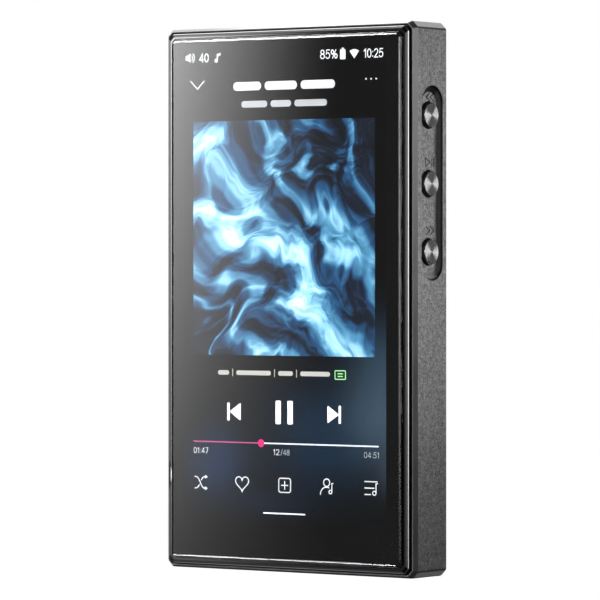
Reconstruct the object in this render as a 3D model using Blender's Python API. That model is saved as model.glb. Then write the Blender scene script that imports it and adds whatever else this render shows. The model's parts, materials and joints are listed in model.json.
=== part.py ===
"""Pocket digital audio player: a milled aluminium body, a framed touch screen, six
sprung keys in two side recesses, and the boards, battery and sockets inside.

The player stands upright. X runs across the width (+X is the side with the three
transport keys), the screen faces -Y and Z is up. The origin is at the middle of
the bottom edge. Constants are millimetres; the model is in metres. A depth is
counted from the front of the glass towards the back.
"""

import math

import bmesh
import bpy
from mathutils import Vector

MM = 0.001

# ---- overall size
WIDTH = 68.0
HEIGHT = 120.7
THICK = 14.0
CORNER = 2.5  # reach of the body's corner, seen from the front
CORNER_POWER = 1.5  # 2 is a circular corner, lower is closer to a straight chamfer
CORNER_STEPS = 4

# ---- body (depths from the glass front)
BODY_FRONT = 1.75  # front lip
CHAMFER_BACK = 2.7  # where the front chamfer meets the flat side
CHAMFER_X, CHAMFER_Z = 0.75, 0.5
BACK_ROUND = 0.5
REBATE_X, REBATE_Z = 1.0, 0.7  # front opening that takes the bezel
LEDGE = 2.6
WALL = 2.4
REAR_REBATE = 1.2
REAR_LEDGE = 12.6

# ---- bezel
BEZEL_X, BEZEL_Z = 1.27, 0.95  # inset of its outer wall
BEZEL_BACK = 2.45
BEZEL_WALL_FRONT = 1.28
BEZEL_RIM = 0.85
BEZEL_TOP_X, BEZEL_TOP_Z = 1.98, 1.60
RIM_IN_X, RIM_IN_Z = 2.48, 2.10
SHELF = 1.35
WINDOW_X, WINDOW_LOW, WINDOW_HIGH = 29.35, 8.2, 117.05
NOTCH_Z, NOTCH_LENGTH, NOTCH_DEEP = 21.0, 4.2, 0.35

# ---- glass
GLASS_X, GLASS_Z = 2.68, 2.32  # inset of its edge
GLASS_FLAT_X, GLASS_FLAT_Z = 3.5, 3.0
GLASS_ROUND = 0.55
GLASS_BACK = 0.9

# ---- display
PANEL_X, PANEL_LOW, PANEL_HIGH = 29.0, 8.6, 116.7
PANEL_FRONT, PANEL_BACK = 1.25, 2.45
LIGHT_FRONT, LIGHT_BACK = 2.6, 3.95

# ---- mid plate
PLATE_FRONT, PLATE_BACK = 4.3, 5.1
PLATE_X, PLATE_LOW, PLATE_HIGH = 30.0, 18.5, 118.0
PLATE_SCREW_X, PLATE_SCREW_LOW, PLATE_SCREW_HIGH = 28.6, 22.0, 112.6

# ---- keys
KEY_DEPTH = 8.1  # distance of the key axes from the glass front
KEY_RADIUS = 2.75
KEY_GAP = 0.2
KEY_HEIGHTS = (100.4, 85.5, 70.7)
KEY_TRAVEL = 0.4
RECESS_LOW, RECESS_HIGH, RECESS_WIDTH, RECESS_DEEP = 64.6, 106.7, 8.2, 1.5
KEY_SEGMENTS = 20

# ---- sockets in the bottom edge and the card slot in the left wall
PORT_DEPTH = 8.1
USB_AT, JACK_A_AT, JACK_B_AT = -14.0, 7.5, 21.0
USB_HALF, USB_RADIUS, USB_WALL = 4.47, 1.63, 0.3
JACK_A_BORE, JACK_B_BORE = 1.8, 2.28
JACK_HOLE, JACK_RING = 3.5, 3.28
JACK_SIDE, JACK_END = 6.2, 16.5
CARD_Z, CARD_HALF = 21.0, 5.8
CARD_NEAR, CARD_FAR = 9.5, 11.0

# ---- boards and battery
MAIN_X, MAIN_LOW, MAIN_HIGH = 26.0, 74.0, 117.0
MAIN_FRONT, MAIN_BACK = 8.2, 9.0
PORT_X, PORT_LOW, PORT_HIGH = 31.0, 2.8, 28.0
PORT_FRONT, PORT_BACK = 11.3, 12.1
CELL_X, CELL_LOW, CELL_HIGH = 26.0, 29.5, 72.5
CELL_FRONT, CELL_BACK = 5.6, 11.9


def depth(d):
    """The y of a point at depth d behind the glass front."""
    return d - THICK / 2.0


# ---------------------------------------------------------------- materials

def material(name, colour, roughness, metallic):
    made = bpy.data.materials.new(name)
    made.use_nodes = True
    shader = made.node_tree.nodes["Principled BSDF"]
    shader.inputs["Base Color"].default_value = (*colour, 1.0)
    shader.inputs["Roughness"].default_value = roughness
    shader.inputs["Metallic"].default_value = metallic
    return made


# ---------------------------------------------------------------- mesh helpers

def finish(name, bm, mat, origin=(0.0, 0.0, 0.0), smooth=None, parent=None):
    """Makes an object from a bmesh in millimetres whose origin is the given point."""
    offset = Vector(origin)
    for v in bm.verts:
        v.co = (v.co - offset) * MM
    bmesh.ops.recalc_face_normals(bm, faces=bm.faces[:])
    mesh = bpy.data.meshes.new(name)
    bm.to_mesh(mesh)
    bm.free()
    if smooth is not None:
        mesh.shade_smooth()
        mesh.set_sharp_from_angle(angle=math.radians(smooth))
    if mat is not None:
        mesh.materials.append(mat)
    made = bpy.data.objects.new(name, mesh)
    bpy.context.scene.collection.objects.link(made)
    if parent is None:
        made.location = offset * MM
    else:
        made.parent = parent
        made.location = (offset * MM) - parent.location
    return made


def tool(name, bm):
    """A shape that only cuts or joins another one."""
    made = finish(name, bm, None)
    made.hide_render = True
    made.display_type = "WIRE"
    return made


def apply_tool(target, cutter, operation):
    step = target.modifiers.new(cutter.name, "BOOLEAN")
    step.operation = operation
    step.solver = "EXACT"
    step.object = cutter


def corner_loop(half, low, high, reach, power=2.0, steps=CORNER_STEPS):
    """A rectangle with rounded corners in the XZ plane, counter-clockwise from the front."""
    centres = (
        (half - reach, low + reach, -90.0),
        (half - reach, high - reach, 0.0),
        (-half + reach, high - reach, 90.0),
        (-half + reach, low + reach, 180.0),
    )
    points = []
    for cx, cz, start in centres:
        turn = math.radians(start)
        for i in range(steps + 1):
            t = math.pi / 2.0 * i / steps
            a = reach * math.cos(t) ** (2.0 / power) if t < math.pi / 2.0 - 1e-9 else 0.0
            b = reach * math.sin(t) ** (2.0 / power) if t > 1e-9 else 0.0
            points.append(
                (
                    cx + a * math.cos(turn) - b * math.sin(turn),
                    cz + a * math.sin(turn) + b * math.cos(turn),
                )
            )
    return points


def body_loop(inset_x, inset_z, reach, power=CORNER_POWER):
    return corner_loop(WIDTH / 2 - inset_x, inset_z, HEIGHT - inset_z, reach, power)


def loft(sections, closed):
    """Bridges loops of equal length. closed joins the last to the first, as a ring; else both ends are capped."""
    bm = bmesh.new()
    rows = [[bm.verts.new((x, depth(d), z)) for x, z in loop] for loop, d in sections]
    count = len(rows[0])
    pairs = list(zip(rows, rows[1:] + rows[:1])) if closed else list(zip(rows, rows[1:]))
    for a, b in pairs:
        for i in range(count):
            j = (i + 1) % count
            bm.faces.new((a[i], a[j], b[j], b[i]))
    if not closed:
        bm.faces.new(rows[0])
        bm.faces.new(rows[-1])
    return bm


def add_box(bm, x, y, z):
    corners = [
        bm.verts.new((x[i], y[j], z[k])) for i in (0, 1) for j in (0, 1) for k in (0, 1)
    ]
    for side in ((0, 1, 3, 2), (4, 6, 7, 5), (0, 4, 5, 1), (2, 3, 7, 6), (0, 2, 6, 4), (1, 5, 7, 3)):
        bm.faces.new([corners[i] for i in side])
    return corners


def box(x, d, z, bevel=0.0):
    """A box given by its ranges in X, depth and Z, with its edges broken by bevel."""
    bm = bmesh.new()
    add_box(bm, x, (depth(d[0]), depth(d[1])), z)
    if bevel:
        bmesh.ops.recalc_face_normals(bm, faces=bm.faces[:])
        bmesh.ops.bevel(bm, geom=bm.edges[:], offset=bevel, segments=1, affect="EDGES", profile=0.5)
    return bm


def add_turned(bm, profile, origin, axis, segments):
    """Turns a profile of (radius, distance) pairs about an axis through origin."""
    axis = Vector(axis).normalized()
    across = axis.orthogonal().normalized()
    other = axis.cross(across)
    rows = []
    for radius, along in profile:
        middle = Vector(origin) + axis * along
        if radius <= 0.0:
            rows.append([bm.verts.new(middle)])
            continue
        rows.append(
            [
                bm.verts.new(
                    middle
                    + across * (radius * math.cos(2 * math.pi * i / segments))
                    + other * (radius * math.sin(2 * math.pi * i / segments))
                )
                for i in range(segments)
            ]
        )
    for a, b in zip(rows, rows[1:]):
        for i in range(segments):
            j = (i + 1) % segments
            if len(a) == 1:
                bm.faces.new((a[0], b[i], b[j]))
            elif len(b) == 1:
                bm.faces.new((a[j], a[i], b[0]))
            else:
                bm.faces.new((a[i], b[i], b[j], a[j]))


def turned(profile, origin, axis, segments):
    bm = bmesh.new()
    add_turned(bm, profile, origin, axis, segments)
    return bm


def rod(radius, start, length):
    return ((0.0, start), (radius, start), (radius, start + length), (0.0, start + length))


def add_pill(bm, along, across, middle, steps, ends, axis):
    """A long slot with round ends: along and across are half sizes, extruded between ends on an axis (0 X, 2 Z)."""
    straight = along - across
    outline = []
    for i in range(steps + 1):
        t = -math.pi / 2 + math.pi * i / steps
        outline.append((straight + across * math.cos(t), across * math.sin(t)))
    for i in range(steps + 1):
        t = math.pi / 2 + math.pi * i / steps
        outline.append((-straight + across * math.cos(t), across * math.sin(t)))
    rows = []
    for end in ends:
        row = []
        for u, v in outline:
            if axis == 0:
                row.append(bm.verts.new((end, middle[0] + v, middle[1] + u)))
            else:
                row.append(bm.verts.new((middle[0] + u, middle[1] + v, end)))
        rows.append(row)
    for i in range(len(outline)):
        j = (i + 1) % len(outline)
        bm.faces.new((rows[0][i], rows[0][j], rows[1][j], rows[1][i]))
    bm.faces.new(rows[0])
    bm.faces.new(rows[1])


def strip(path, half_width, middle_x, thick):
    """A flat flexible strip that follows a path of (z, depth) points with its width along X."""
    bm = bmesh.new()
    rows = []
    last = len(path) - 1
    for i, (z, d) in enumerate(path):
        before = Vector(path[max(i - 1, 0)])
        after = Vector(path[min(i + 1, last)])
        run = (after - before).normalized()
        side = Vector((-run.y, run.x)) * (thick / 2)
        near = (z + side.x, d + side.y)
        far = (z - side.x, d - side.y)
        rows.append(
            [
                bm.verts.new((middle_x + s * half_width, depth(p[1]), p[0]))
                for s, p in ((-1, near), (1, near), (1, far), (-1, far))
            ]
        )
    for a, b in zip(rows, rows[1:]):
        for i in range(4):
            j = (i + 1) % 4
            bm.faces.new((a[i], a[j], b[j], b[i]))
    bm.faces.new(rows[0])
    bm.faces.new(rows[-1])
    return bm


# ---------------------------------------------------------------- the pieces

def make_housing(mats):
    """The milled body: a closed wall with a front rebate, a rear rebate, side recesses and socket holes."""
    inner = (WALL, WALL, 1.2)
    rows = (
        (CHAMFER_X, CHAMFER_Z, CORNER - 0.5, BODY_FRONT),
        (0.0, 0.0, CORNER, CHAMFER_BACK),
        (0.0, 0.0, CORNER, THICK - BACK_ROUND),
        (BACK_ROUND * 0.29, BACK_ROUND * 0.29, CORNER - 0.1, THICK - BACK_ROUND * 0.29),
        (BACK_ROUND, BACK_ROUND, CORNER - 0.3, THICK),
        (REAR_REBATE, REAR_REBATE, 1.7, THICK),
        (REAR_REBATE, REAR_REBATE, 1.7, REAR_LEDGE),
        (*inner, REAR_LEDGE),
        (*inner, LEDGE),
        (REBATE_X, REBATE_Z, CORNER - 0.8, LEDGE),
        (REBATE_X, REBATE_Z, CORNER - 0.8, BODY_FRONT),
    )
    bm = loft([(body_loop(ix, iz, r), d) for ix, iz, r, d in rows], closed=True)
    housing = finish("housing", bm, mats["aluminium"], smooth=30)

    # Pads inside the wall carry the mid plate; blocks in the lower corners carry the port board.
    pads = bmesh.new()
    for side in (-1, 1):
        inner_x = WIDTH / 2 - WALL
        reach = sorted((side * (PLATE_SCREW_X - 1.9), side * (inner_x + 0.6)))
        for z in (PLATE_SCREW_LOW, PLATE_SCREW_HIGH):
            add_box(pads, reach, (depth(5.4), depth(8.3)), (z - 2.3, z + 2.3))
        reach = sorted((side * 27.4, side * (inner_x + 0.6)))
        add_box(pads, reach, (depth(8.6), depth(11.1)), (WALL - 0.6, 7.0))
    apply_tool(housing, tool("housing_pads", pads), "UNION")

    cuts = bmesh.new()
    floor = WIDTH / 2 - RECESS_DEEP
    middle = (depth(KEY_DEPTH), (RECESS_LOW + RECESS_HIGH) / 2)
    for side in (-1, 1):
        add_pill(
            cuts, (RECESS_HIGH - RECESS_LOW) / 2, RECESS_WIDTH / 2, middle, 10,
            (side * floor, side * (WIDTH / 2 + 1)), 0,
        )
    apply_tool(housing, tool("housing_recesses", cuts), "DIFFERENCE")

    cuts = bmesh.new()
    for side in (-1, 1):
        for z in KEY_HEIGHTS:
            add_turned(
                cuts, rod(KEY_RADIUS + KEY_GAP, 0.0, 4.0),
                (side * (WIDTH / 2 - WALL - 1.5), depth(KEY_DEPTH), z), (side, 0, 0), KEY_SEGMENTS,
            )
        for z in (PLATE_SCREW_LOW, PLATE_SCREW_HIGH):
            add_turned(cuts, rod(0.95, 5.0, 2.8), (side * PLATE_SCREW_X, depth(0), z), (0, 1, 0), 10)
        add_turned(cuts, rod(0.95, 8.9, 2.8), (side * 29.4, depth(0), 4.9), (0, 1, 0), 10)
    for x in (JACK_A_AT, JACK_B_AT):
        add_turned(cuts, rod(JACK_HOLE, -1.0, WALL + 2.0), (x, depth(PORT_DEPTH), 0.0), (0, 0, 1), 24)
    add_pill(
        cuts, USB_HALF + 0.23, USB_RADIUS + 0.23, (USB_AT, depth(PORT_DEPTH)), 8,
        (-1.0, WALL + 1.0), 2,
    )
    add_pill(
        cuts, CARD_HALF, (CARD_FAR - CARD_NEAR) / 2, (depth((CARD_NEAR + CARD_FAR) / 2), CARD_Z), 4,
        (-WIDTH / 2 - 1.0, -WIDTH / 2 + WALL + 1.0), 0,
    )
    apply_tool(housing, tool("housing_holes", cuts), "DIFFERENCE")


def make_front(mats):
    """Glass, the tape under it, and the bezel ring that holds both."""
    rows = (
        (body_loop(BEZEL_X, BEZEL_Z, CORNER - 1.05), BEZEL_BACK),
        (body_loop(BEZEL_X, BEZEL_Z, CORNER - 1.05), BEZEL_WALL_FRONT),
        (body_loop(BEZEL_X + 0.06, BEZEL_Z + 0.06, CORNER - 1.05), BEZEL_WALL_FRONT - 0.09),
        (body_loop(BEZEL_TOP_X, BEZEL_TOP_Z, CORNER - 1.05), BEZEL_RIM),
        (body_loop(RIM_IN_X, RIM_IN_Z, 1.3, 2.0), BEZEL_RIM),
        (body_loop(RIM_IN_X, RIM_IN_Z, 1.3, 2.0), SHELF),
        (corner_loop(WINDOW_X, WINDOW_LOW, WINDOW_HIGH, 0.6), SHELF),
        (corner_loop(WINDOW_X, WINDOW_LOW, WINDOW_HIGH, 0.6), BEZEL_BACK),
    )
    bezel = finish("front_bezel", loft(rows, closed=True), mats["bezel"], smooth=30)

    # A shallow fingernail scallop in the left edge.
    radius = (NOTCH_LENGTH ** 2 / 4 + NOTCH_DEEP ** 2) / (2 * NOTCH_DEEP)
    scallop = turned(
        rod(radius, 0.0, 1.6),
        (-WIDTH / 2 + BEZEL_X + NOTCH_DEEP - radius, depth(BEZEL_RIM - 0.8), NOTCH_Z), (0, 1, 0), 48,
    )
    apply_tool(bezel, tool("bezel_notch", scallop), "DIFFERENCE")

    rows = []
    for i in range(4):
        t = math.pi / 2 * i / 3
        s, c = math.sin(t), 1 - math.cos(t)
        rows.append(
            (
                body_loop(
                    GLASS_FLAT_X - (GLASS_FLAT_X - GLASS_X) * s,
                    GLASS_FLAT_Z - (GLASS_FLAT_Z - GLASS_Z) * s,
                    0.7 + 0.4 * s, 2.0,
                ),
                GLASS_ROUND * c,
            )
        )
    rows.append((body_loop(GLASS_X, GLASS_Z, 1.1, 2.0), GLASS_BACK))
    finish("cover_glass", loft(rows, closed=False), mats["glass"], smooth=40)

    outer = body_loop(GLASS_X + 0.3, GLASS_Z + 0.3, 0.9, 2.0)
    inner = corner_loop(WINDOW_X + 0.1, WINDOW_LOW - 0.1, WINDOW_HIGH + 0.1, 0.6)
    rows = ((outer, 1.0), (outer, 1.25), (inner, 1.25), (inner, 1.0))
    finish("glass_adhesive", loft(rows, closed=True), mats["tape"])


def make_display(mats):
    finish(
        "lcd_panel",
        box((-PANEL_X, PANEL_X), (PANEL_FRONT, PANEL_BACK), (PANEL_LOW, PANEL_HIGH), 0.15),
        mats["panel"],
    )
    finish(
        "backlight_unit",
        box((-PANEL_X, PANEL_X), (LIGHT_FRONT, LIGHT_BACK), (PANEL_LOW, PANEL_HIGH), 0.2),
        mats["guide"],
    )
    # The display's flat cable leaves the lower edge, turns back and meets the port board.
    path = [(15.0, 4.25), (8.0, 4.25)]
    for i in range(1, 6):
        t = math.pi / 2 * i / 5
        path.append((8.0 - 1.6 * math.sin(t), 4.25 + 1.6 * (1 - math.cos(t))))
    path.append((6.4, 9.4))
    for i in range(1, 6):
        t = math.pi / 2 * i / 5
        path.append((6.4 + 1.6 * (1 - math.cos(t)), 9.4 + 1.6 * math.sin(t)))
    path.append((12.0, 11.0))
    finish("lcd_flex", strip(path, 3.4, -3.4, 0.2), mats["film"])


def make_mid_plate(mats):
    plate = finish(
        "mid_plate",
        loft(
            [
                (corner_loop(PLATE_X, PLATE_LOW, PLATE_HIGH, 1.2, 2.0, 2), PLATE_FRONT),
                (corner_loop(PLATE_X, PLATE_LOW, PLATE_HIGH, 1.2, 2.0, 2), PLATE_BACK),
            ],
            closed=False,
        ),
        mats["plate"],
    )
    posts = bmesh.new()
    for x, z in board_screws():
        add_turned(posts, rod(1.7, PLATE_BACK - 0.4, MAIN_FRONT - 0.1 - PLATE_BACK + 0.4), (x, depth(0), z), (0, 1, 0), 16)
    apply_tool(plate, tool("mid_plate_posts", posts), "UNION")
    cuts = bmesh.new()
    for x, z in board_screws():
        add_turned(cuts, rod(0.95, 5.8, 3.0), (x, depth(0), z), (0, 1, 0), 10)
    stepped = ((0.0, 4.0), (1.55, 4.0), (1.55, 4.78), (0.95, 4.78), (0.95, 5.5), (0.0, 5.5))
    for side in (-1, 1):
        for z in (PLATE_SCREW_LOW, PLATE_SCREW_HIGH):
            add_turned(cuts, stepped, (side * PLATE_SCREW_X, depth(0), z), (0, 1, 0), 12)
    apply_tool(plate, tool("mid_plate_holes", cuts), "DIFFERENCE")


def board_screws():
    return [(x, z) for z in (76.6, 114.4) for x in (-23.4, 23.4)]


def screw(name, mat, x, z, head_near, head_thick, shank, towards_back):
    """A pan head screw whose shank runs along the depth from its head."""
    way = 1.0 if towards_back else -1.0
    profile = (
        (0.0, 0.0), (1.15, 0.0), (1.35, 0.15), (1.35, head_thick), (0.7, head_thick),
        (0.7, head_thick + shank - 0.2), (0.5, head_thick + shank), (0.0, head_thick + shank),
    )
    start = (x, depth(head_near), z)
    finish(name, turned(profile, start, (0, way, 0), 8), mat, smooth=35)


def make_boards(mats):
    board = finish(
        "main_board", box((-MAIN_X, MAIN_X), (MAIN_FRONT, MAIN_BACK), (MAIN_LOW, MAIN_HIGH)), mats["board"]
    )
    cuts = bmesh.new()
    for x, z in board_screws():
        add_turned(cuts, rod(1.0, MAIN_FRONT - 0.5, 2.0), (x, depth(0), z), (0, 1, 0), 10)
    apply_tool(board, tool("main_board_holes", cuts), "DIFFERENCE")
    for i, (x, z) in enumerate(board_screws()):
        screw(f"main_board_screw_{i + 1}", mats["steel"], x, z, MAIN_BACK + 0.7, 0.6, 2.6, False)

    finish("soc_shield", box((-15.0, 15.0), (5.95, 8.1), (86.0, 110.0), 0.25), mats["tin"])
    finish("thermal_pad", box((-11.0, 11.0), (5.2, 5.85), (89.0, 107.0)), mats["pad"])
    finish("dac_shield", box((-20.0, 4.0), (9.1, 11.3), (86.0, 108.0), 0.25), mats["tin"])

    board = finish(
        "port_board", box((-PORT_X, PORT_X), (PORT_FRONT, PORT_BACK), (PORT_LOW, PORT_HIGH)), mats["board"]
    )
    cuts = bmesh.new()
    for x in (-29.4, 29.4):
        add_turned(cuts, rod(1.0, PORT_FRONT - 0.5, 2.0), (x, depth(0), 4.9), (0, 1, 0), 10)
    apply_tool(board, tool("port_board_holes", cuts), "DIFFERENCE")
    for i, x in enumerate((-29.4, 29.4)):
        screw(f"port_board_screw_{i + 1}", mats["steel"], x, 4.9, PORT_BACK + 0.5, 0.4, 2.6, False)

    finish("battery", box((-CELL_X, CELL_X), (CELL_FRONT, CELL_BACK), (CELL_LOW, CELL_HIGH), 0.8), mats["cell"])
    finish("battery_pad", box((-22.0, 22.0), (5.2, 5.5), (33.0, 69.0)), mats["tape"])

    # The flat cable between the boards passes behind the battery.
    path = [(82.0, 9.3), (76.5, 9.3)]
    for i in range(1, 5):
        t = i / 5
        s = t * t * (3 - 2 * t)
        path.append((76.5 - 3.5 * t, 9.3 + 3.0 * s))
    path += [(73.0, 12.3), (22.0, 12.3)]
    finish("link_flex", strip(path, 6.0, 10.0, 0.2), mats["film"])

    for i, (side, z) in enumerate(
        (s, z) for z in (PLATE_SCREW_LOW, PLATE_SCREW_HIGH) for s in (-1, 1)
    ):
        screw(f"mid_plate_screw_{i + 1}", mats["steel"], side * PLATE_SCREW_X, z, PLATE_FRONT + 0.02, 0.4, 2.7, True)


def make_sockets(mats):
    near = depth(PORT_DEPTH)
    # Receptacle: a drawn shell with round ends, open downwards and closed inside.
    shell_bm = bmesh.new()
    add_pill(shell_bm, USB_HALF, USB_RADIUS, (USB_AT, near), 8, (0.35, 8.2), 2)
    shell = finish("usb_c_shell", shell_bm, mats["steel"], smooth=35)
    legs = bmesh.new()
    for x in (-3.2, 3.2):
        add_box(legs, (USB_AT + x - 0.7, USB_AT + x + 0.7), (near + 0.8, depth(PORT_FRONT - 0.15)), (3.0, 7.4))
    apply_tool(shell, tool("usb_c_legs", legs), "UNION")
    bore = bmesh.new()
    add_pill(bore, USB_HALF - USB_WALL, USB_RADIUS - USB_WALL, (USB_AT, near), 8, (-0.5, 7.7), 2)
    apply_tool(shell, tool("usb_c_bore", bore), "DIFFERENCE")
    finish(
        "usb_c_tongue",
        box((USB_AT - 3.34, USB_AT + 3.34), (PORT_DEPTH - 0.35, PORT_DEPTH + 0.35), (1.2, 7.5), 0.12),
        mats["plastic"],
    )

    for name, x, bore_radius, ring_mat in (
        ("jack_3_5", JACK_A_AT, JACK_A_BORE, "steel"),
        ("jack_4_4", JACK_B_AT, JACK_B_BORE, "gold"),
    ):
        half = JACK_SIDE / 2
        block = finish(
            f"{name}_body",
            box((x - half, x + half), (PORT_DEPTH - half, PORT_DEPTH + half), (WALL + 0.1, JACK_END), 0.3),
            mats["plastic"],
        )
        hole = turned(rod(bore_radius, WALL - 1.0, JACK_END - WALL - 0.2), (x, near, 0.0), (0, 0, 1), 20)
        apply_tool(block, tool(f"{name}_bore", hole), "DIFFERENCE")
        inner = bore_radius + 0.05
        ring = bmesh.new()
        profile = (
            (inner + 0.35, 0.04), (JACK_RING - 0.15, 0.04), (JACK_RING, 0.19), (JACK_RING, WALL - 0.05),
            (inner, WALL - 0.05), (inner, 0.39), (inner + 0.35, 0.04),
        )
        add_turned(ring, profile, (x, near, 0.0), (0, 0, 1), 24)
        bmesh.ops.remove_doubles(ring, verts=ring.verts[:], dist=0.001)
        finish(f"{name}_ring", ring, mats[ring_mat], smooth=35)

    socket = finish(
        "card_socket", box((-31.4, -17.0), (CARD_NEAR - 0.2, PORT_FRONT - 0.1), (CARD_Z - 7.0, CARD_Z + 7.0)),
        mats["tin"],
    )
    pocket = box((-32.0, -18.0), (CARD_NEAR + 0.1, CARD_FAR - 0.1), (CARD_Z - 5.7, CARD_Z + 5.7))
    apply_tool(socket, tool("card_pocket", pocket), "DIFFERENCE")


def make_rear(mats):
    loop = body_loop(REAR_REBATE + 0.2, REAR_REBATE + 0.2, 1.5)
    small = body_loop(REAR_REBATE + 0.35, REAR_REBATE + 0.35, 1.4)
    rows = ((loop, REAR_LEDGE + 0.35), (loop, THICK - 0.15), (small, THICK))
    finish("rear_cover", loft(rows, closed=False), mats["rear"], smooth=30)
    outer = body_loop(REAR_REBATE + 0.3, REAR_REBATE + 0.3, 1.4)
    inner = body_loop(WALL + 0.2, WALL + 0.2, 1.0)
    rows = ((outer, 12.7), (outer, 12.85), (inner, 12.85), (inner, 12.7))
    finish("rear_cover_adhesive", loft(rows, closed=True), mats["tape"])
    finish("antenna", box((-24.0, -2.0), (12.62, 12.82), (104.0, 114.0)), mats["film"])


def make_keys(mats):
    """Six turned keys. Each slides along X, is held in by a flange, and pushes a switch plunger."""
    cap = (
        (0.0, -0.12), (0.5, -0.10), (2.35, 0.0), (2.6, -0.05), (KEY_RADIUS, -0.25), (KEY_RADIUS, -2.5),
        (3.35, -2.7), (3.35, -3.2), (1.0, -3.2), (1.0, -3.7), (0.0, -3.7),
    )
    plunger = ((0.0, -3.8), (0.65, -3.8), (0.8, -3.95), (0.8, -5.1), (0.0, -5.1))
    sides = (
        (1, "right", ("previous", "play", "next")),
        (-1, "left", ("power", "volume_up", "volume_down")),
    )
    y = depth(KEY_DEPTH)
    for side, word, names in sides:
        for name, z in zip(names, KEY_HEIGHTS):
            face = (side * WIDTH / 2, y, z)
            pivot = bpy.data.objects.new(f"{name}_slide", None)
            pivot.empty_display_size = 3 * MM
            pivot.location = Vector(face) * MM
            bpy.context.scene.collection.objects.link(pivot)
            out = (side, 0, 0)
            finish(f"{name}_button", turned(cap, face, out, KEY_SEGMENTS), mats["key"], face, 30, pivot)
            finish(f"{name}_plunger", turned(plunger, face, out, 8), mats["plastic"], face, 30, pivot)
            x = sorted((side * 27.9, side * 29.5))
            body = finish(
                f"{name}_switch", box(x, (KEY_DEPTH - 1.8, KEY_DEPTH + 1.8), (z - 2.1, z + 2.1), 0.15), mats["tin"]
            )
            hole = turned(rod(1.05, -5.7, 2.0), face, out, 8)
            apply_tool(body, tool(f"{name}_switch_bore", hole), "DIFFERENCE")
        low, high = RECESS_LOW + 1.2, RECESS_HIGH - 1.2
        x = sorted((side * 27.2, side * 27.75))
        finish(f"{word}_key_board", box(x, (KEY_DEPTH - 2.6, KEY_DEPTH + 2.6), (low, high)), mats["board"])
        # The bracket is one bent strip: a back plate and two feet that reach the wall.
        bracket = bmesh.new()
        near, far = depth(KEY_DEPTH - 2.4), depth(KEY_DEPTH + 2.4)
        foot = WIDTH / 2 - WALL - 0.15
        outline = (
            (26.5, low - 1.4), (foot, low - 1.4), (foot, low - 0.9), (27.0, low - 0.9),
            (27.0, high + 0.9), (foot, high + 0.9), (foot, high + 1.4), (26.5, high + 1.4),
        )
        rows = [[bracket.verts.new((side * px, yy, pz)) for px, pz in outline] for yy in (near, far)]
        for i in range(len(outline)):
            j = (i + 1) % len(outline)
            bracket.faces.new((rows[0][i], rows[0][j], rows[1][j], rows[1][i]))
        bracket.faces.new(rows[0])
        bracket.faces.new(rows[1])
        finish(f"{word}_key_bracket", bracket, mats["steel"])


def main():
    for old in list(bpy.data.objects):
        bpy.data.objects.remove(old, do_unlink=True)
    mats = {
        "aluminium": material("blasted_aluminium", (0.19, 0.19, 0.20), 0.45, 1.0),
        "bezel": material("gloss_black_frame", (0.02, 0.02, 0.022), 0.12, 0.0),
        "glass": material("cover_glass", (0.012, 0.013, 0.015), 0.04, 0.0),
        "panel": material("display", (0.02, 0.04, 0.08), 0.3, 0.0),
        "guide": material("light_guide", (0.75, 0.77, 0.8), 0.4, 0.0),
        "rear": material("rear_panel", (0.03, 0.03, 0.033), 0.5, 0.0),
        "key": material("turned_aluminium", (0.35, 0.35, 0.36), 0.25, 1.0),
        "tape": material("tape", (0.015, 0.015, 0.015), 0.9, 0.0),
        "tin": material("tinned_steel", (0.55, 0.55, 0.56), 0.35, 1.0),
        "steel": material("steel", (0.45, 0.45, 0.46), 0.3, 1.0),
        "gold": material("gold_plate", (0.75, 0.55, 0.25), 0.25, 1.0),
        "plate": material("mid_plate", (0.5, 0.5, 0.5), 0.5, 1.0),
        "board": material("solder_mask", (0.01, 0.03, 0.05), 0.45, 0.0),
        "film": material("polyimide", (0.25, 0.12, 0.02), 0.4, 0.0),
        "cell": material("battery_foil", (0.6, 0.6, 0.6), 0.4, 0.3),
        "pad": material("thermal_pad", (0.35, 0.4, 0.5), 0.8, 0.0),
        "plastic": material("black_plastic", (0.02, 0.02, 0.02), 0.5, 0.0),
    }
    make_housing(mats)
    make_front(mats)
    make_display(mats)
    make_mid_plate(mats)
    make_boards(mats)
    make_sockets(mats)
    make_rear(mats)
    make_keys(mats)


main()
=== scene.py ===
"""Looks of the pocket digital audio player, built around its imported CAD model.

X runs across the width (+X is the side with the three transport keys), the screen
faces -Y and Z is up. Numbers are millimetres and become metres when a mesh is made.
A depth is counted from the front of the glass towards the back.
"""

import json
import math

import bmesh
import bpy
from mathutils import Matrix, Vector


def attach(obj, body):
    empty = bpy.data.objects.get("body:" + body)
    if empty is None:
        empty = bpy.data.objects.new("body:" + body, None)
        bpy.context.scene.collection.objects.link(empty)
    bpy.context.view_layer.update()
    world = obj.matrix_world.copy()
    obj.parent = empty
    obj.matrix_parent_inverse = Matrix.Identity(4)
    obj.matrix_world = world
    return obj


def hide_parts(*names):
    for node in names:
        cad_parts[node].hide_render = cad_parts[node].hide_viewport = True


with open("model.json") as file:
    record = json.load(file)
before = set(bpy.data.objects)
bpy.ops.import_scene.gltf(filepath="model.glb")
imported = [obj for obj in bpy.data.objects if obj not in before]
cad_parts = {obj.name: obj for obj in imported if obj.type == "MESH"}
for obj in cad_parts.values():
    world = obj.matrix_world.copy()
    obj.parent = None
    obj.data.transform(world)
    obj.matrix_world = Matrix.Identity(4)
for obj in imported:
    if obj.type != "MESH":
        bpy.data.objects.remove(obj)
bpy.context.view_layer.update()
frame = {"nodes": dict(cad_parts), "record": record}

MM = 0.001
STEPS = 5  # points on each rounded end of a cut corner

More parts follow.
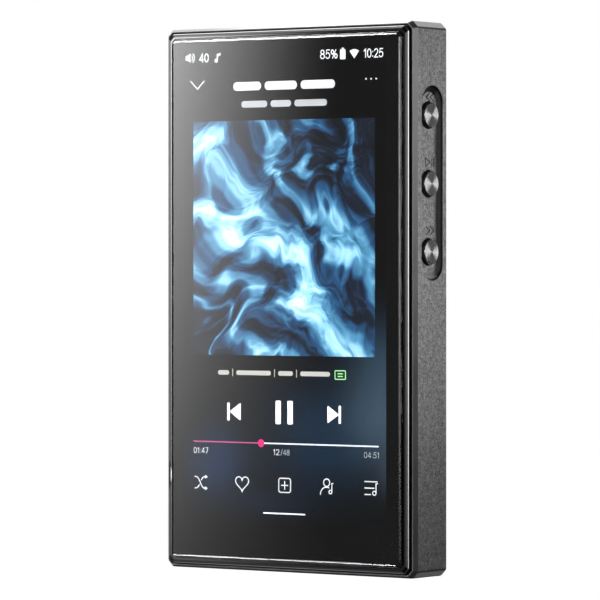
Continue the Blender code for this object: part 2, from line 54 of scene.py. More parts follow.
# ---- sizes of the CAD model
WIDTH, HEIGHT, THICK = 68.0, 120.7, 14.0
KEY_DEPTH, KEY_RADIUS, KEY_GAP = 8.1, 2.75, 0.2
KEY_HEIGHTS = (100.4, 85.5, 70.7)
RECESS_LOW, RECESS_HIGH, RECESS_WIDTH, RECESS_DEEP = 64.6, 106.7, 8.2, 1.5
RECESS_SEEN = 0.95  # the recess is drawn as a shallow scoop, as it looks in the photo
RECESS_FLOOR = WIDTH / 2 - RECESS_SEEN
WALL = 2.4
PORT_DEPTH = 8.1
USB_AT, JACK_A_AT, JACK_B_AT = -14.0, 7.5, 21.0
USB_HALF, USB_RADIUS = 4.47, 1.63
JACK_A_BORE, JACK_B_BORE = 1.8, 2.28
JACK_HOLE, JACK_RING = 3.5, 3.28
CARD_Z, CARD_HALF, CARD_NEAR, CARD_FAR = 21.0, 5.8, 9.5, 11.0
NOTCH_Z, NOTCH_RADIUS, NOTCH_REACH = 20.8, 5.9, 2.44
WINDOW_X, WINDOW_LOW, WINDOW_HIGH = 29.35, 8.2, 117.05
BODY_CUT, BODY_ROUND = 1.38, 0.8  # the body's corners: a small flat with rounded ends

# ---- the lit area of the screen
SCREEN_LEFT, SCREEN_RIGHT, SCREEN_LOW, SCREEN_HIGH = -27.94, 26.98, 11.5, 115.7
ART = (-25.38, 24.02, 47.85, 99.85)
INK_NEAR, INK_FAR = 0.93, 0.96
ICON_NEAR, ICON_FAR = 1.00, 1.03
ART_NEAR, ART_FAR = 1.05, 1.08
BACK_NEAR, BACK_FAR = 1.12, 1.20


def depth(d):
    """The y of a point at depth d behind the glass front."""
    return d - THICK / 2.0


# ---------------------------------------------------------------- materials

class Shade:
    """One node material around a Principled BSDF."""

    def __init__(self, name):
        self.mat = bpy.data.materials.new(name)
        self.mat.use_nodes = True
        self.tree = self.mat.node_tree
        self.tree.nodes.clear()
        out = self.tree.nodes.new("ShaderNodeOutputMaterial")
        self.bsdf = self.tree.nodes.new("ShaderNodeBsdfPrincipled")
        self.tree.links.new(self.bsdf.outputs["BSDF"], out.inputs["Surface"])
        self.place = self.add("TexCoord").outputs["Object"]

    def plug(self, value, socket):
        if isinstance(value, bpy.types.NodeSocket):
            self.tree.links.new(value, socket)
        else:
            socket.default_value = value

    def add(self, kind, inputs=None, **props):
        made = self.tree.nodes.new("ShaderNode" + kind)
        for key, value in props.items():
            setattr(made, key, value)
        for key, value in (inputs or {}).items():
            self.plug(value, made.inputs[key])
        return made

    def set(self, **values):
        for key, value in values.items():
            self.plug(value, self.bsdf.inputs[key.replace("_", " ")])
        return self

    def math(self, operation, a, b=0.0, c=0.0, clamp=False):
        made = self.add("Math", {0: a, 1: b, 2: c}, operation=operation, use_clamp=clamp)
        return made.outputs[0]

    def noise(self, size, detail=2.0, rough=0.5, place=None, stretch=None):
        """Noise whose blobs are about size millimetres wide; stretch scales it along X, Y and Z."""
        spot = place or self.place
        if stretch:
            spot = self.add("VectorMath", {0: spot, 1: stretch}, operation="MULTIPLY").outputs[0]
        made = self.add(
            "TexNoise",
            {"Vector": spot, "Scale": 1.0 / (size * MM), "Detail": detail, "Roughness": rough},
        )
        return made.outputs[0]

    def cells(self, size, feature="F1", output="Distance"):
        made = self.add("TexVoronoi", {"Vector": self.place, "Scale": 1.0 / (size * MM)}, feature=feature)
        return made.outputs[output]

    def span(self, value, a, b, low, high):
        """Maps the range a to b of a value to low to high, without going past either."""
        made = self.add(
            "MapRange",
            {"Value": value, "From Min": a, "From Max": b, "To Min": low, "To Max": high},
        )
        return made.outputs[0]

    def smooth(self, value, a, b):
        made = self.add(
            "MapRange", {"Value": value, "From Min": a, "From Max": b}, interpolation_type="SMOOTHSTEP"
        )
        return made.outputs[0]

    def mix(self, share, a, b):
        made = self.add("Mix", data_type="RGBA")
        for value, index in ((share, 0), (a, 6), (b, 7)):
            self.plug((*value, 1.0) if isinstance(value, tuple) and len(value) == 3 else value, made.inputs[index])
        return made.outputs[2]

    def scaled(self, colour, amount):
        made = self.add("VectorMath", {0: colour, "Scale": amount}, operation="SCALE")
        return made.outputs[0]

    def sum(self, a, b):
        return self.add("VectorMath", {0: a, 1: b}, operation="ADD").outputs[0]

    def axes(self):
        made = self.add("SeparateXYZ", {0: self.place})
        return made.outputs[0], made.outputs[1], made.outputs[2]

    def bump(self, height, reach, strength=1.0):
        """reach is the height in millimetres that a change of 1 stands for."""
        made = self.add("Bump", {"Height": height, "Distance": reach * MM, "Strength": strength})
        self.plug(made.outputs[0], self.bsdf.inputs["Normal"])
        return self


def grained(name, dark, light, size, rough, metallic=0.0, bump=0.0, detail=3.0, stretch=None, broad=20.0):
    """A material with two scales of grain in its colour and roughness."""
    sh = Shade(name)
    fine = sh.noise(size, detail, 0.55, stretch=stretch)
    wide = sh.noise(broad, 2.0)
    both = sh.math("MULTIPLY_ADD", fine, 0.7, sh.math("MULTIPLY", wide, 0.3))
    share = sh.span(both, 0.3, 0.7, 0.0, 1.0)
    sh.set(Base_Color=sh.mix(share, dark, light), Metallic=metallic)
    sh.set(Roughness=sh.span(both, 0.3, 0.7, rough[0], rough[1]))
    if bump:
        sh.bump(fine, bump)
    return sh


def blasted():
    """Bead-blasted, anodised aluminium: a fine sparkle over a slightly coarser mottle."""
    sh = Shade("blasted_aluminium_look")
    fine = sh.noise(0.42, 2.0, 0.6)
    mottle = sh.noise(1.1, 3.0, 0.55)
    wide = sh.noise(26.0, 2.0)
    both = sh.math("MULTIPLY_ADD", fine, 0.62, sh.math("MULTIPLY", mottle, 0.38))
    tone = sh.math("MULTIPLY_ADD", wide, 0.1, both)
    share = sh.span(tone, 0.40, 0.70, 0.0, 1.0)
    sh.set(Base_Color=sh.mix(share, (0.152, 0.1525, 0.155), (0.530, 0.531, 0.536)), Metallic=1.0)
    sh.set(Roughness=sh.span(mottle, 0.3, 0.7, 0.29, 0.36))
    sh.bump(both, 0.022)
    return sh.mat


def scoop_painted_shade():
    """The recess: blasted like the sides, with painted shade towards its back, its top and its outer edge, and a
    painted highlight at the lower end of the right recess.
    """
    sh = Shade("scoop_painted_shade_look")
    fine = sh.noise(0.42, 2.0, 0.6)
    mottle = sh.noise(1.1, 3.0, 0.55)
    both = sh.math("MULTIPLY_ADD", fine, 0.62, sh.math("MULTIPLY", mottle, 0.38))
    metal = sh.mix(sh.span(both, 0.35, 0.65, 0.0, 1.0), (0.152, 0.1525, 0.155), (0.530, 0.531, 0.536))
    x, y, z = sh.axes()
    rise = sh.math("ABSOLUTE", x)
    wall = sh.math("GREATER_THAN", rise, (RECESS_FLOOR + 0.005) * MM)
    right = sh.math("GREATER_THAN", x, (RECESS_FLOOR + 0.005) * MM)
    # painted highlight: the lower end of the right recess is lighter
    painted_highlight = sh.math("MULTIPLY", right, sh.smooth(z, (RECESS_LOW + 3.4) * MM, (RECESS_LOW + 1.8) * MM))
    metal = sh.mix(painted_highlight, metal, (0.86, 0.86, 0.865))
    # painted shade: the wall grows darker towards its back, its top and its outer edge
    middle = KEY_DEPTH + 0.15 - THICK / 2
    back = sh.smooth(y, (middle + 0.6) * MM, (middle + 2.6) * MM)
    top = sh.smooth(z, (RECESS_HIGH - 4.6) * MM, (RECESS_HIGH - 2.2) * MM)
    shaded = sh.math("MULTIPLY", wall, sh.math("MAXIMUM", back, top))
    share = sh.math("MAXIMUM", shaded, sh.smooth(y, (middle + 1.1) * MM, (middle + 4.3) * MM))
    rim = sh.smooth(rise, (RECESS_FLOOR + 0.46) * MM, (RECESS_FLOOR + 0.64) * MM)
    share = sh.math("MAXIMUM", share, sh.math("MULTIPLY", rim, 0.92))
    grain = sh.mix(mottle, (0.030, 0.030, 0.031), (0.044, 0.044, 0.045))
    dark = sh.mix(rim, grain, (0.010, 0.010, 0.011))
    sh.set(Base_Color=sh.mix(share, metal, dark), Metallic=1.0)
    sh.set(Roughness=sh.span(mottle, 0.3, 0.7, 0.29, 0.36))
    sh.bump(both, 0.022)
    return sh.mat


def cut_edge_with_painted_shade():
    """The milled chamfers: the same metal, smoother, with faint tool lines along the edge, and painted shade that
    darkens them towards the bottom.
    """
    sh = Shade("cut_edge_painted_shade_look")
    lines = sh.noise(0.05, 2.0, 0.5, stretch=(1.0, 1.0, 0.02))
    wide = sh.noise(9.0, 2.0)
    both = sh.math("MULTIPLY_ADD", lines, 0.6, sh.math("MULTIPLY", wide, 0.4))
    metal = sh.mix(sh.span(both, 0.35, 0.65, 0.0, 1.0), (0.25, 0.25, 0.255), (0.31, 0.31, 0.315))
    # painted shade: darker towards the bottom
    tone = sh.span(sh.axes()[2], 28.0 * MM, 62.0 * MM, 0.72, 1.0)
    sh.set(Base_Color=sh.scaled(metal, tone))
    sh.set(Metallic=1.0, Roughness=sh.span(both, 0.3, 0.7, 0.27, 0.35))
    sh.bump(lines, 0.004)
    return sh.mat


# near-black metal for the engraved marks, and painted shade in the holes, in the groove behind the bezel and under the
# lower corners
def dark_anodise_and_shade(name="dark_anodise_and_shade_look"):
    sh = grained(name, (0.010, 0.010, 0.011), (0.020, 0.020, 0.021), 0.3, (0.38, 0.52), 0.0, 0.006)
    sh.set(Specular_IOR_Level=0.22)
    return sh.mat


def gloss_black():
    """The bezel's black enamel, with a barely visible unevenness in its gloss."""
    sh = Shade("gloss_black_look")
    soft = sh.noise(7.0, 3.0)
    fine = sh.noise(0.5, 2.0)
    sh.set(Base_Color=sh.mix(soft, (0.004, 0.004, 0.005), (0.007, 0.007, 0.008)))
    sh.set(Roughness=sh.span(soft, 0.3, 0.7, 0.05, 0.09), IOR=1.5)
    sh.bump(fine, 0.0004)
    return sh.mat


def polished_edge():
    """The bezel's outer edge, polished through to bright metal."""
    sh = Shade("polished_edge_look")
    lines = sh.noise(0.04, 2.0, 0.5, stretch=(1.0, 1.0, 0.03))
    sh.set(Base_Color=sh.mix(lines, (0.40, 0.40, 0.41), (0.50, 0.50, 0.51)), Metallic=1.0)
    sh.set(Roughness=sh.span(lines, 0.3, 0.7, 0.16, 0.24))
    return sh.mat


def glass():
    """Clear cover glass with the slightest unevenness in its polish."""
    sh = Shade("cover_glass_look")
    soft = sh.noise(16.0, 2.0)
    sh.set(Base_Color=sh.mix(soft, (0.97, 0.98, 0.985), (0.985, 0.99, 0.99)))
    sh.set(Roughness=sh.span(soft, 0.3, 0.7, 0.004, 0.016))
    sh.set(IOR=1.5, Transmission_Weight=1.0)
    return sh.mat


def lit_cells(sh):
    """1 on the lit cells of the panel and less on the dark lines between them."""
    pitch = 0.078 * MM
    x, _, z = sh.axes()
    across = sh.math("FRACT", sh.math("DIVIDE", x, pitch))
    up = sh.math("FRACT", sh.math("DIVIDE", z, pitch))
    gap = sh.math("MAXIMUM", sh.math("LESS_THAN", across, 0.14), sh.math("LESS_THAN", up, 0.1))
    return sh.span(gap, 0.0, 1.0, 1.0, 0.82)


def lit(name, colour, strength):
    """Lit pixels of one colour."""
    sh = Shade(name)
    shown = sh.scaled(colour, lit_cells(sh))
    sh.set(Base_Color=shown, Roughness=0.4, Specular_IOR_Level=0.0)
    sh.set(Emission_Color=shown, Emission_Strength=strength)
    return sh.mat


def screen_glow():
    """The player's dim blurred backdrop: three soft blue glows on black."""
    sh = Shade("screen_backdrop_look")
    x, _, z = sh.axes()
    total = None  # grows below, over a faint even glow
    for cx, cz, wx, wz, colour in (
        (25.5, 35.0, 9.0, 10.0, (0.031, 0.052, 0.074)),
        (9.0, 30.0, 13.0, 11.0, (0.004, 0.015, 0.033)),
        (-19.0, 24.0, 7.5, 7.0, (0.003, 0.015, 0.045)),
        (-5.0, 15.0, 9.0, 3.0, (0.002, 0.005, 0.014)),
        (26.0, 48.0, 8.0, 8.0, (0.010, 0.024, 0.040)),
        (27.5, 22.5, 3.0, 4.5, (0.009, 0.013, 0.019)),
    ):
        dx = sh.math("DIVIDE", sh.math("SUBTRACT", x, cx * MM), wx * MM)
        dz = sh.math("DIVIDE", sh.math("SUBTRACT", z, cz * MM), wz * MM)
        far = sh.math("MULTIPLY_ADD", dx, dx, sh.math("MULTIPLY", dz, dz))
        spot = sh.math("POWER", math.e, sh.math("MULTIPLY", far, -1.0))
        part = sh.scaled(colour, spot)
        total = part if total is None else sh.sum(total, part)
    total = sh.scaled(sh.sum(total, (0.001, 0.001, 0.0011)), lit_cells(sh))
    sh.set(Base_Color=total, Roughness=0.35, Specular_IOR_Level=0.0)
    sh.set(Emission_Color=total, Emission_Strength=1.1)
    return sh.mat


def poured_art():
    """The cover picture's place: an abstract of poured paint, dark with folded blue and white streams."""
    sh = Shade("album_art_look")
    x, _, z = sh.axes()
    left, right, low, high = ART
    u = sh.math("DIVIDE", sh.math("SUBTRACT", x, left * MM), (right - left) * MM)
    v = sh.math("DIVIDE", sh.math("SUBTRACT", z, low * MM), (high - low) * MM)

    def stirred(place, size, reach, seed):
        """The place, pushed about by two noises."""
        push = []
        for k in (0.0, 1.0):
            at = sh.add("VectorMath", {0: place, 1: (seed + 0.37 * k, 0.11 * k, seed * 0.6)}, operation="ADD").outputs[0]
            push.append(sh.math("MULTIPLY", sh.math("SUBTRACT", sh.noise(size, 2.0, 0.5, at), 0.5), reach * MM))
        away = sh.add("CombineXYZ", {0: push[0], 2: push[1]}).outputs[0]
        return sh.add("VectorMath", {0: place, 1: away}, operation="ADD").outputs[0]

    flow = stirred(stirred(sh.place, 30.0, 46.0, 0.20), 13.0, 17.0, 0.71)
    field = sh.noise(24.0, 2.0, 0.45, flow)
    veins = sh.noise(5.0, 3.0, 0.55, flow, (0.55, 1.0, 1.6))
    # streams run from the upper left to the lower right
    lean = sh.math("MULTIPLY_ADD", u, 0.92, v)
    lean = sh.math("MULTIPLY_ADD", sh.math("SUBTRACT", field, 0.5), 1.5, lean)
    tone = sh.span(field, 0.2, 0.8, 0.0, 0.16)
    for middle, width, amount in ((0.92, 0.18, 0.62), (0.50, 0.085, 0.46), (1.32, 0.075, 0.46), (0.28, 0.04, 0.34), (1.58, 0.06, 0.40)):
        away = sh.math("DIVIDE", sh.math("SUBTRACT", lean, middle), width)
        stream = sh.math("POWER", math.e, sh.math("MULTIPLY", sh.math("MULTIPLY", away, away), -1.0))
        tone = sh.math("MULTIPLY_ADD", stream, amount, tone)
    tone = sh.math("MULTIPLY_ADD", sh.math("SUBTRACT", veins, 0.5), 0.75, tone)
    threads = sh.math("SINE", sh.math("MULTIPLY", lean, 95.0))
    tone = sh.math("MULTIPLY_ADD", threads, 0.028, tone)
    ramp = sh.add("ValToRGB", {0: tone})
    stops = (
        (0.00, (0.006, 0.007, 0.010)), (0.16, (0.010, 0.016, 0.030)), (0.34, (0.017, 0.072, 0.170)),
        (0.52, (0.080, 0.265, 0.430)), (0.68, (0.310, 0.610, 0.760)), (0.84, (0.720, 0.890, 0.945)),
        (1.00, (0.960, 0.985, 1.000)),
    )
    marks = ramp.color_ramp.elements
    while len(marks) < len(stops):
        marks.new(0.5)
    for mark, (at, colour) in zip(marks, stops):
        mark.position = at
        mark.color = (*colour, 1.0)
    colour = sh.scaled(ramp.outputs[0], lit_cells(sh))
    sh.set(Base_Color=colour, Roughness=0.35, Specular_IOR_Level=0.0)
    sh.set(Emission_Color=colour, Emission_Strength=1.1)
    return sh.mat


def turned_face():
    """A lathe-turned face: fine rings that spread light across them."""
    sh = Shade("turned_face_look")
    grain = sh.noise(0.6, 2.0)
    sh.set(Base_Color=sh.mix(grain, (0.38, 0.38, 0.385), (0.45, 0.45, 0.455)), Metallic=1.0)
    sh.set(Roughness=sh.span(grain, 0.3, 0.7, 0.40, 0.46), Anisotropic=1.0, Anisotropic_Rotation=0.25)
    tangent = sh.add("Tangent", direction_type="RADIAL", axis="X")
    sh.set(Tangent=tangent.outputs[0])
    return sh.mat


def rear_glass():
    """Matt etched dark glass: a fine sparkle in an almost black panel."""
    sh = Shade("rear_panel_look")
    fine = sh.noise(0.16, 2.0, 0.6)
    wide = sh.noise(30.0, 2.0)
    spark = sh.smooth(fine, 0.62, 0.74)
    ground = sh.mix(wide, (0.016, 0.017, 0.019), (0.024, 0.025, 0.027))
    sh.set(Base_Color=sh.mix(spark, ground, (0.060, 0.062, 0.066)))
    sh.set(Roughness=sh.span(fine, 0.3, 0.7, 0.36, 0.50))
    sh.bump(fine, 0.006)
    return sh.mat


def circuit_board():
    """Dark solder mask with faint copper runs under it."""
    sh = Shade("solder_mask_look")
    runs = sh.cells(2.4, "DISTANCE_TO_EDGE")
    track = sh.smooth(runs, 0.09, 0.05)
    fine = sh.noise(0.4, 2.0)
    ground = sh.mix(fine, (0.006, 0.022, 0.036), (0.010, 0.034, 0.052))
    sh.set(Base_Color=sh.mix(track, ground, (0.022, 0.062, 0.078)))
    sh.set(Roughness=sh.span(fine, 0.3, 0.7, 0.32, 0.46))
    sh.bump(track, 0.02)
    return sh.mat


def panel_stack():
    """The unlit display: black with its cell grid."""
    sh = Shade("display_look")
    cells = lit_cells(sh)
    wide = sh.noise(18.0, 2.0)
    ground = sh.mix(wide, (0.006, 0.006, 0.008), (0.010, 0.010, 0.012))
    sh.set(Base_Color=sh.scaled(ground, cells), Roughness=sh.span(wide, 0.3, 0.7, 0.25, 0.35))
    return sh.mat


def light_guide():
    """A white light guide with rows of small frosted dots."""
    sh = Shade("light_guide_look")
    dots = sh.smooth(sh.cells(1.1), 0.30, 0.22)
    wide = sh.noise(14.0, 2.0)
    sh.set(Base_Color=sh.mix(dots, sh.mix(wide, (0.66, 0.68, 0.72), (0.74, 0.76, 0.79)), (0.88, 0.89, 0.9)))
    sh.set(Roughness=sh.span(dots, 0.0, 1.0, 0.25, 0.55))
    sh.bump(dots, 0.01)
    return sh.mat


LOOKS = {
    "blasted_aluminium": blasted(),
    "gloss_black_frame": gloss_black(),
    "cover_glass": glass(),
    "display": panel_stack(),
    "light_guide": light_guide(),
    "rear_panel": rear_glass(),
    "turned_aluminium": turned_face(),
    "tape": grained("tape_look", (0.010, 0.010, 0.010), (0.024, 0.024, 0.024), 0.5, (0.8, 0.95), 0.0, 0.02).mat,
    "tinned_steel": grained("tinned_steel_look", (0.46, 0.46, 0.47), (0.62, 0.62, 0.63), 0.9, (0.26, 0.42), 1.0, 0.004).mat,
    "steel": grained("steel_look", (0.42, 0.42, 0.43), (0.56, 0.56, 0.57), 0.25, (0.20, 0.34), 1.0, 0.002, stretch=(1.0, 1.0, 0.08)).mat,
    "gold_plate": grained("gold_plate_look", (0.70, 0.48, 0.19), (0.84, 0.62, 0.30), 0.3, (0.18, 0.30), 1.0, 0.002).mat,
    "mid_plate": grained("mid_plate_look", (0.40, 0.40, 0.40), (0.55, 0.55, 0.55), 0.7, (0.42, 0.58), 1.0, 0.01).mat,
    "solder_mask": circuit_board(),
    "polyimide": grained("polyimide_look", (0.20, 0.09, 0.012), (0.30, 0.15, 0.028), 1.2, (0.3, 0.45), 0.0, 0.004).mat,
    "battery_foil": grained("battery_foil_look", (0.46, 0.47, 0.48), (0.62, 0.63, 0.64), 2.4, (0.3, 0.48), 0.6, 0.06).mat,
    "thermal_pad": grained("thermal_pad_look", (0.26, 0.31, 0.40), (0.36, 0.42, 0.52), 0.8, (0.75, 0.9), 0.0, 0.03).mat,
    "black_plastic": grained("black_plastic_look", (0.012, 0.012, 0.013), (0.024, 0.024, 0.025), 0.4, (0.42, 0.58), 0.0, 0.01).mat,
}
CUT = cut_edge_with_painted_shade()
DARK_ANODISE_AND_SHADE = dark_anodise_and_shade()
RECESS_WALL = grained("recess_wall_look", (0.045, 0.045, 0.047), (0.085, 0.085, 0.088), 0.4, (0.34, 0.44), 1.0, 0.01).mat
SCOOP_PAINTED_SHADE = scoop_painted_shade()
# painted shade: a darker copy of the chamfer metal for the lowest front chamfer
LOW_EDGE_PAINTED_SHADE = grained("low_edge_painted_shade_look", (0.13, 0.13, 0.133), (0.17, 0.17, 0.173), 0.3, (0.27, 0.35), 1.0, 0.004).mat
BODY_LOOKS = (LOOKS["blasted_aluminium"], CUT, DARK_ANODISE_AND_SHADE, RECESS_WALL, SCOOP_PAINTED_SHADE, LOW_EDGE_PAINTED_SHADE)
BRIGHT_EDGE = polished_edge()
DARK_CHROME = grained("dark_chrome_look", (0.100, 0.100, 0.103), (0.130, 0.130, 0.133), 0.5, (0.03, 0.06), 1.0).mat
LIP = grained("polished_lip_look", (0.68, 0.68, 0.69), (0.78, 0.78, 0.79), 0.3, (0.04, 0.08), 1.0).mat
INK = grained("printed_ink_look", (0.003, 0.003, 0.0035), (0.006, 0.006, 0.0065), 0.4, (0.45, 0.6)).set(Specular_IOR_Level=0.0).mat

WHITE = lit("lit_white", (0.97, 0.98, 0.99), 1.0)
SOFT_WHITE = lit("lit_soft_white", (0.84, 0.87, 0.90), 0.95)
PINK = lit("lit_pink", (0.68, 0.022, 0.160), 1.0)
PALE = lit("lit_pale", (0.82, 0.88, 0.93), 0.95)
GREEN = lit("lit_green", (0.42, 0.80, 0.42), 0.95)
DEEP_GREEN = lit("lit_deep_green", (0.006, 0.045, 0.006), 0.9)


# ---------------------------------------------------------------- mesh helpers

def finish(name, bm, mats, smooth=None, weighted=False):
    """Makes an object at the origin from a bmesh in millimetres."""
    for v in bm.verts:
        v.co *= MM
    bmesh.ops.recalc_face_normals(bm, faces=bm.faces[:])
    mesh = bpy.data.meshes.new(name)
    bm.to_mesh(mesh)
    bm.free()
    for mat in mats:
        mesh.materials.append(mat)
    made = bpy.data.objects.new(name, mesh)
    bpy.context.scene.collection.objects.link(made)
    if smooth is not None:
        soften(made, smooth, weighted)
    return made


def soften(made, angle, weighted):
    made.data.shade_smooth()
    made.data.set_sharp_from_angle(angle=math.radians(angle))
    if weighted:
        step = made.modifiers.new("even_flats", "WEIGHTED_NORMAL")
        step.keep_sharp = True
        step.weight = 80


def carve(made, cutters, smooth, weighted=True):
    """Cuts the given meshes out of an object for good, and removes them."""
    for cutter in cutters:
        step = made.modifiers.new("cut", "BOOLEAN")
        step.operation = "DIFFERENCE"
        step.solver = "EXACT"
        step.object = cutter
    bpy.context.view_layer.update()
    result = bpy.data.meshes.new_from_object(made.evaluated_get(bpy.context.evaluated_depsgraph_get()))
    made.modifiers.clear()
    old = made.data
    made.data = result
    name = old.name
    bpy.data.meshes.remove(old)
    result.name = name
    for cutter in cutters:
        mesh = cutter.data
        bpy.data.objects.remove(cutter, do_unlink=True)
        bpy.data.meshes.remove(mesh)
    soften(made, smooth, weighted)


def around(half, low, high, corner):
    """A closed outline in X and Z from one corner's points, given from the upper right corner point."""
    points = []
    for (cx, cz), (a, b, c, d) in (
        ((half, low), (0, 1, -1, 0)),
        ((half, high), (1, 0, 0, 1)),
        ((-half, high), (0, -1, 1, 0)),
        ((-half, low), (-1, 0, 0, -1)),
    ):
        points += [(cx + a * u + b * w, cz + c * u + d * w) for u, w in corner]
    return points


def cut_loop(inset_x, inset_z, cut, radius):
    """The body's outline moved in, with corners cut at 45 degrees and both ends of each cut rounded."""
    t = radius * math.tan(math.pi / 8)
    corner = []
    for i in range(STEPS + 1):
        a = math.pi / 4 * i / STEPS
        corner.append((radius * math.cos(a) - radius, radius * math.sin(a) - cut - t))
    for i in range(STEPS + 1):
        a = math.pi / 4 + math.pi / 4 * i / STEPS
        corner.append((radius * math.cos(a) - cut - t, radius * math.sin(a) - radius))
    return around(WIDTH / 2 - inset_x, inset_z, HEIGHT - inset_z, corner)


def round_corner(radius):
    last = 2 * STEPS + 1
    return [
        (
            radius * math.cos(math.pi / 2 * i / last) - radius,
            radius * math.sin(math.pi / 2 * i / last) - radius,
        )
        for i in range(last + 1)
    ]


def round_loop(inset_x, inset_z, radius):
    return around(WIDTH / 2 - inset_x, inset_z, HEIGHT - inset_z, round_corner(radius))


def window_loop(half, low, high, radius):
    return around(half, low, high, round_corner(radius))


def loft(rows, closed, bands=None):
    """Bridges outlines of equal length, given with their depths. closed joins the last to the first; else both ends
    are capped. A band is a material index, or a pair of them for the straight sides and the corners."""
    bm = bmesh.new()
    made = [[bm.verts.new((x, depth(d), z)) for x, z in outline] for outline, d in rows]
    count = len(made[0])
    pairs = list(zip(made, made[1:] + made[:1])) if closed else list(zip(made, made[1:]))
    for k, (a, b) in enumerate(pairs):
        for i in range(count):
            j = (i + 1) % count
            face = bm.faces.new((a[i], a[j], b[j], b[i]))
            look = bands[k] if bands else 0
            if isinstance(look, tuple):
                look = look[0] if (i + 1) % (2 * STEPS + 2) == 0 else look[1]
            face.material_index = look
    if not closed:
        bm.faces.new(made[0])
        bm.faces.new(made[-1])
    return bm


def turn(bm, profile, origin, axis, segments, bands=None):
    """Turns a profile of (radius, distance) pairs about an axis through origin."""
    axis = Vector(axis).normalized()
    across = axis.orthogonal().normalized()
    other = axis.cross(across)
    rows = []
    for radius, along in profile:
        middle = Vector(origin) + axis * along
        if radius <= 0.0:
            rows.append([bm.verts.new(middle)])
            continue
        rows.append(
            [
                bm.verts.new(
                    middle
                    + across * (radius * math.cos(2 * math.pi * i / segments))
                    + other * (radius * math.sin(2 * math.pi * i / segments))
                )
                for i in range(segments)
            ]
        )
    for k, (a, b) in enumerate(zip(rows, rows[1:])):
        for i in range(segments):
            j = (i + 1) % segments
            if len(a) == 1:
                face = bm.faces.new((a[0], b[i], b[j]))
            elif len(b) == 1:
                face = bm.faces.new((a[j], a[i], b[0]))
            else:
                face = bm.faces.new((a[i], b[i], b[j], a[j]))
            face.material_index = bands[k] if bands else 0


def pill(along, across, steps=18):
    """The outline of a slot with round ends, as (along, across) pairs."""
    straight = along - across
    points = []
    for middle, start in ((straight, -math.pi / 2), (-straight, math.pi / 2)):
        for i in range(steps + 1):
            t = start + math.pi * i / steps
            points.append((middle + across * math.cos(t), across * math.sin(t)))
    return points


def stack(bm, outlines, place, bands=None, ends=(0, 0)):
    """Joins 2D outlines at given distances into one closed shape. place turns (u, v, distance) into a point."""
    rows = [[bm.verts.new(place(u, v, a)) for u, v in outline] for outline, a in outlines]
    count = len(rows[0])
    for k, (a, b) in enumerate(zip(rows, rows[1:])):
        for i in range(count):
            j = (i + 1) % count
            face = bm.faces.new((a[i], a[j], b[j], b[i]))
            face.material_index = bands[k] if bands else 0
    for row, index in zip((rows[0], rows[-1]), ends):
        bm.faces.new(row).material_index = index


def on_screen(u, v, a):
    return (u, depth(a), v)


def prism(bm, outline, near, far, place=on_screen, index=0):
    stack(bm, [(outline, near), (outline, far)], place, [index], (index, index))


def band(bm, points, width, near, far, place=on_screen, closed=False, caps=5, index=0):
    """A flat line of even width along 2D points, with round ends, between two depths."""
    path = [Vector(p) for p in points]
    count, half = len(path), width / 2
    left, right = [], []
    for i, p in enumerate(path):
        before = path[i - 1] if closed or i else p
        after = path[(i + 1) % count] if closed or i < count - 1 else p
        run_in, run_out = p - before, after - p
        if run_in.length < 1e-9:
            run_in = run_out
        if run_out.length < 1e-9:
            run_out = run_in
        run_in, run_out = run_in.normalized(), run_out.normalized()
        side_in = Vector((-run_in.y, run_in.x))
        side = (side_in + Vector((-run_out.y, run_out.x))).normalized()
        reach = half / max(side.dot(side_in), 0.4)
        left.append(p + side * reach)
        right.append(p - side * reach)
    front, back = {}, {}

    def pair(key, spot):
        front[key] = bm.verts.new(place(spot.x, spot.y, near))
        back[key] = bm.verts.new(place(spot.x, spot.y, far))

    for i in range(count):
        pair(("l", i), left[i])
        pair(("r", i), right[i])

    def face(keys):
        bm.faces.new([front[k] for k in keys]).material_index = index
        bm.faces.new([back[k] for k in reversed(keys)]).material_index = index

    def wall(keys):
        for a, b in zip(keys, keys[1:]):
            bm.faces.new((front[a], front[b], back[b], back[a])).material_index = index

    last = count if closed else count - 1
    for i in range(last):
        j = (i + 1) % count
        face([("l", i), ("l", j), ("r", j), ("r", i)])
    lefts, rights = [("l", i) for i in range(count)], [("r", i) for i in range(count)]
    if closed:
        wall(lefts + lefts[:1])
        wall(rights + rights[:1])
        return
    wall(lefts)
    wall(rights)
    for end, centre in ((count - 1, path[-1]), (0, path[0])):
        arm = left[end] - centre
        away = (path[-1] - path[-2]) if end else (path[0] - path[1])
        turn_way = 1.0 if Vector((-arm.y, arm.x)).dot(away) > 0 else -1.0
        keys = [("l", end)]
        for i in range(1, caps):
            t = turn_way * math.pi * i / caps
            spot = Vector((arm.x * math.cos(t) - arm.y * math.sin(t), arm.x * math.sin(t) + arm.y * math.cos(t)))
            pair(("c", end, i), centre + spot)
            keys.append(("c", end, i))
        keys.append(("r", end))
        face(keys)
        wall(keys)


def arc(cx, cz, radius, start, stop, steps):
    return [
        (
            cx + radius * math.cos(math.radians(start + (stop - start) * i / steps)),
            cz + radius * math.sin(math.radians(start + (stop - start) * i / steps)),
        )
        for i in range(steps + 1)
    ]


def disc_outline(cx, cz, radius, steps=24):
    return arc(cx, cz, radius, 0, 360, steps)[:-1]


def rounded(x0, x1, z0, z1, radius, steps=4):
    points = []
    for cx, cz, start in (
        (x1 - radius, z0 + radius, -90), (x1 - radius, z1 - radius, 0),
        (x0 + radius, z1 - radius, 90), (x0 + radius, z0 + radius, 180),
    ):
        points += arc(cx, cz, radius, start, start + 90, steps)
    return points


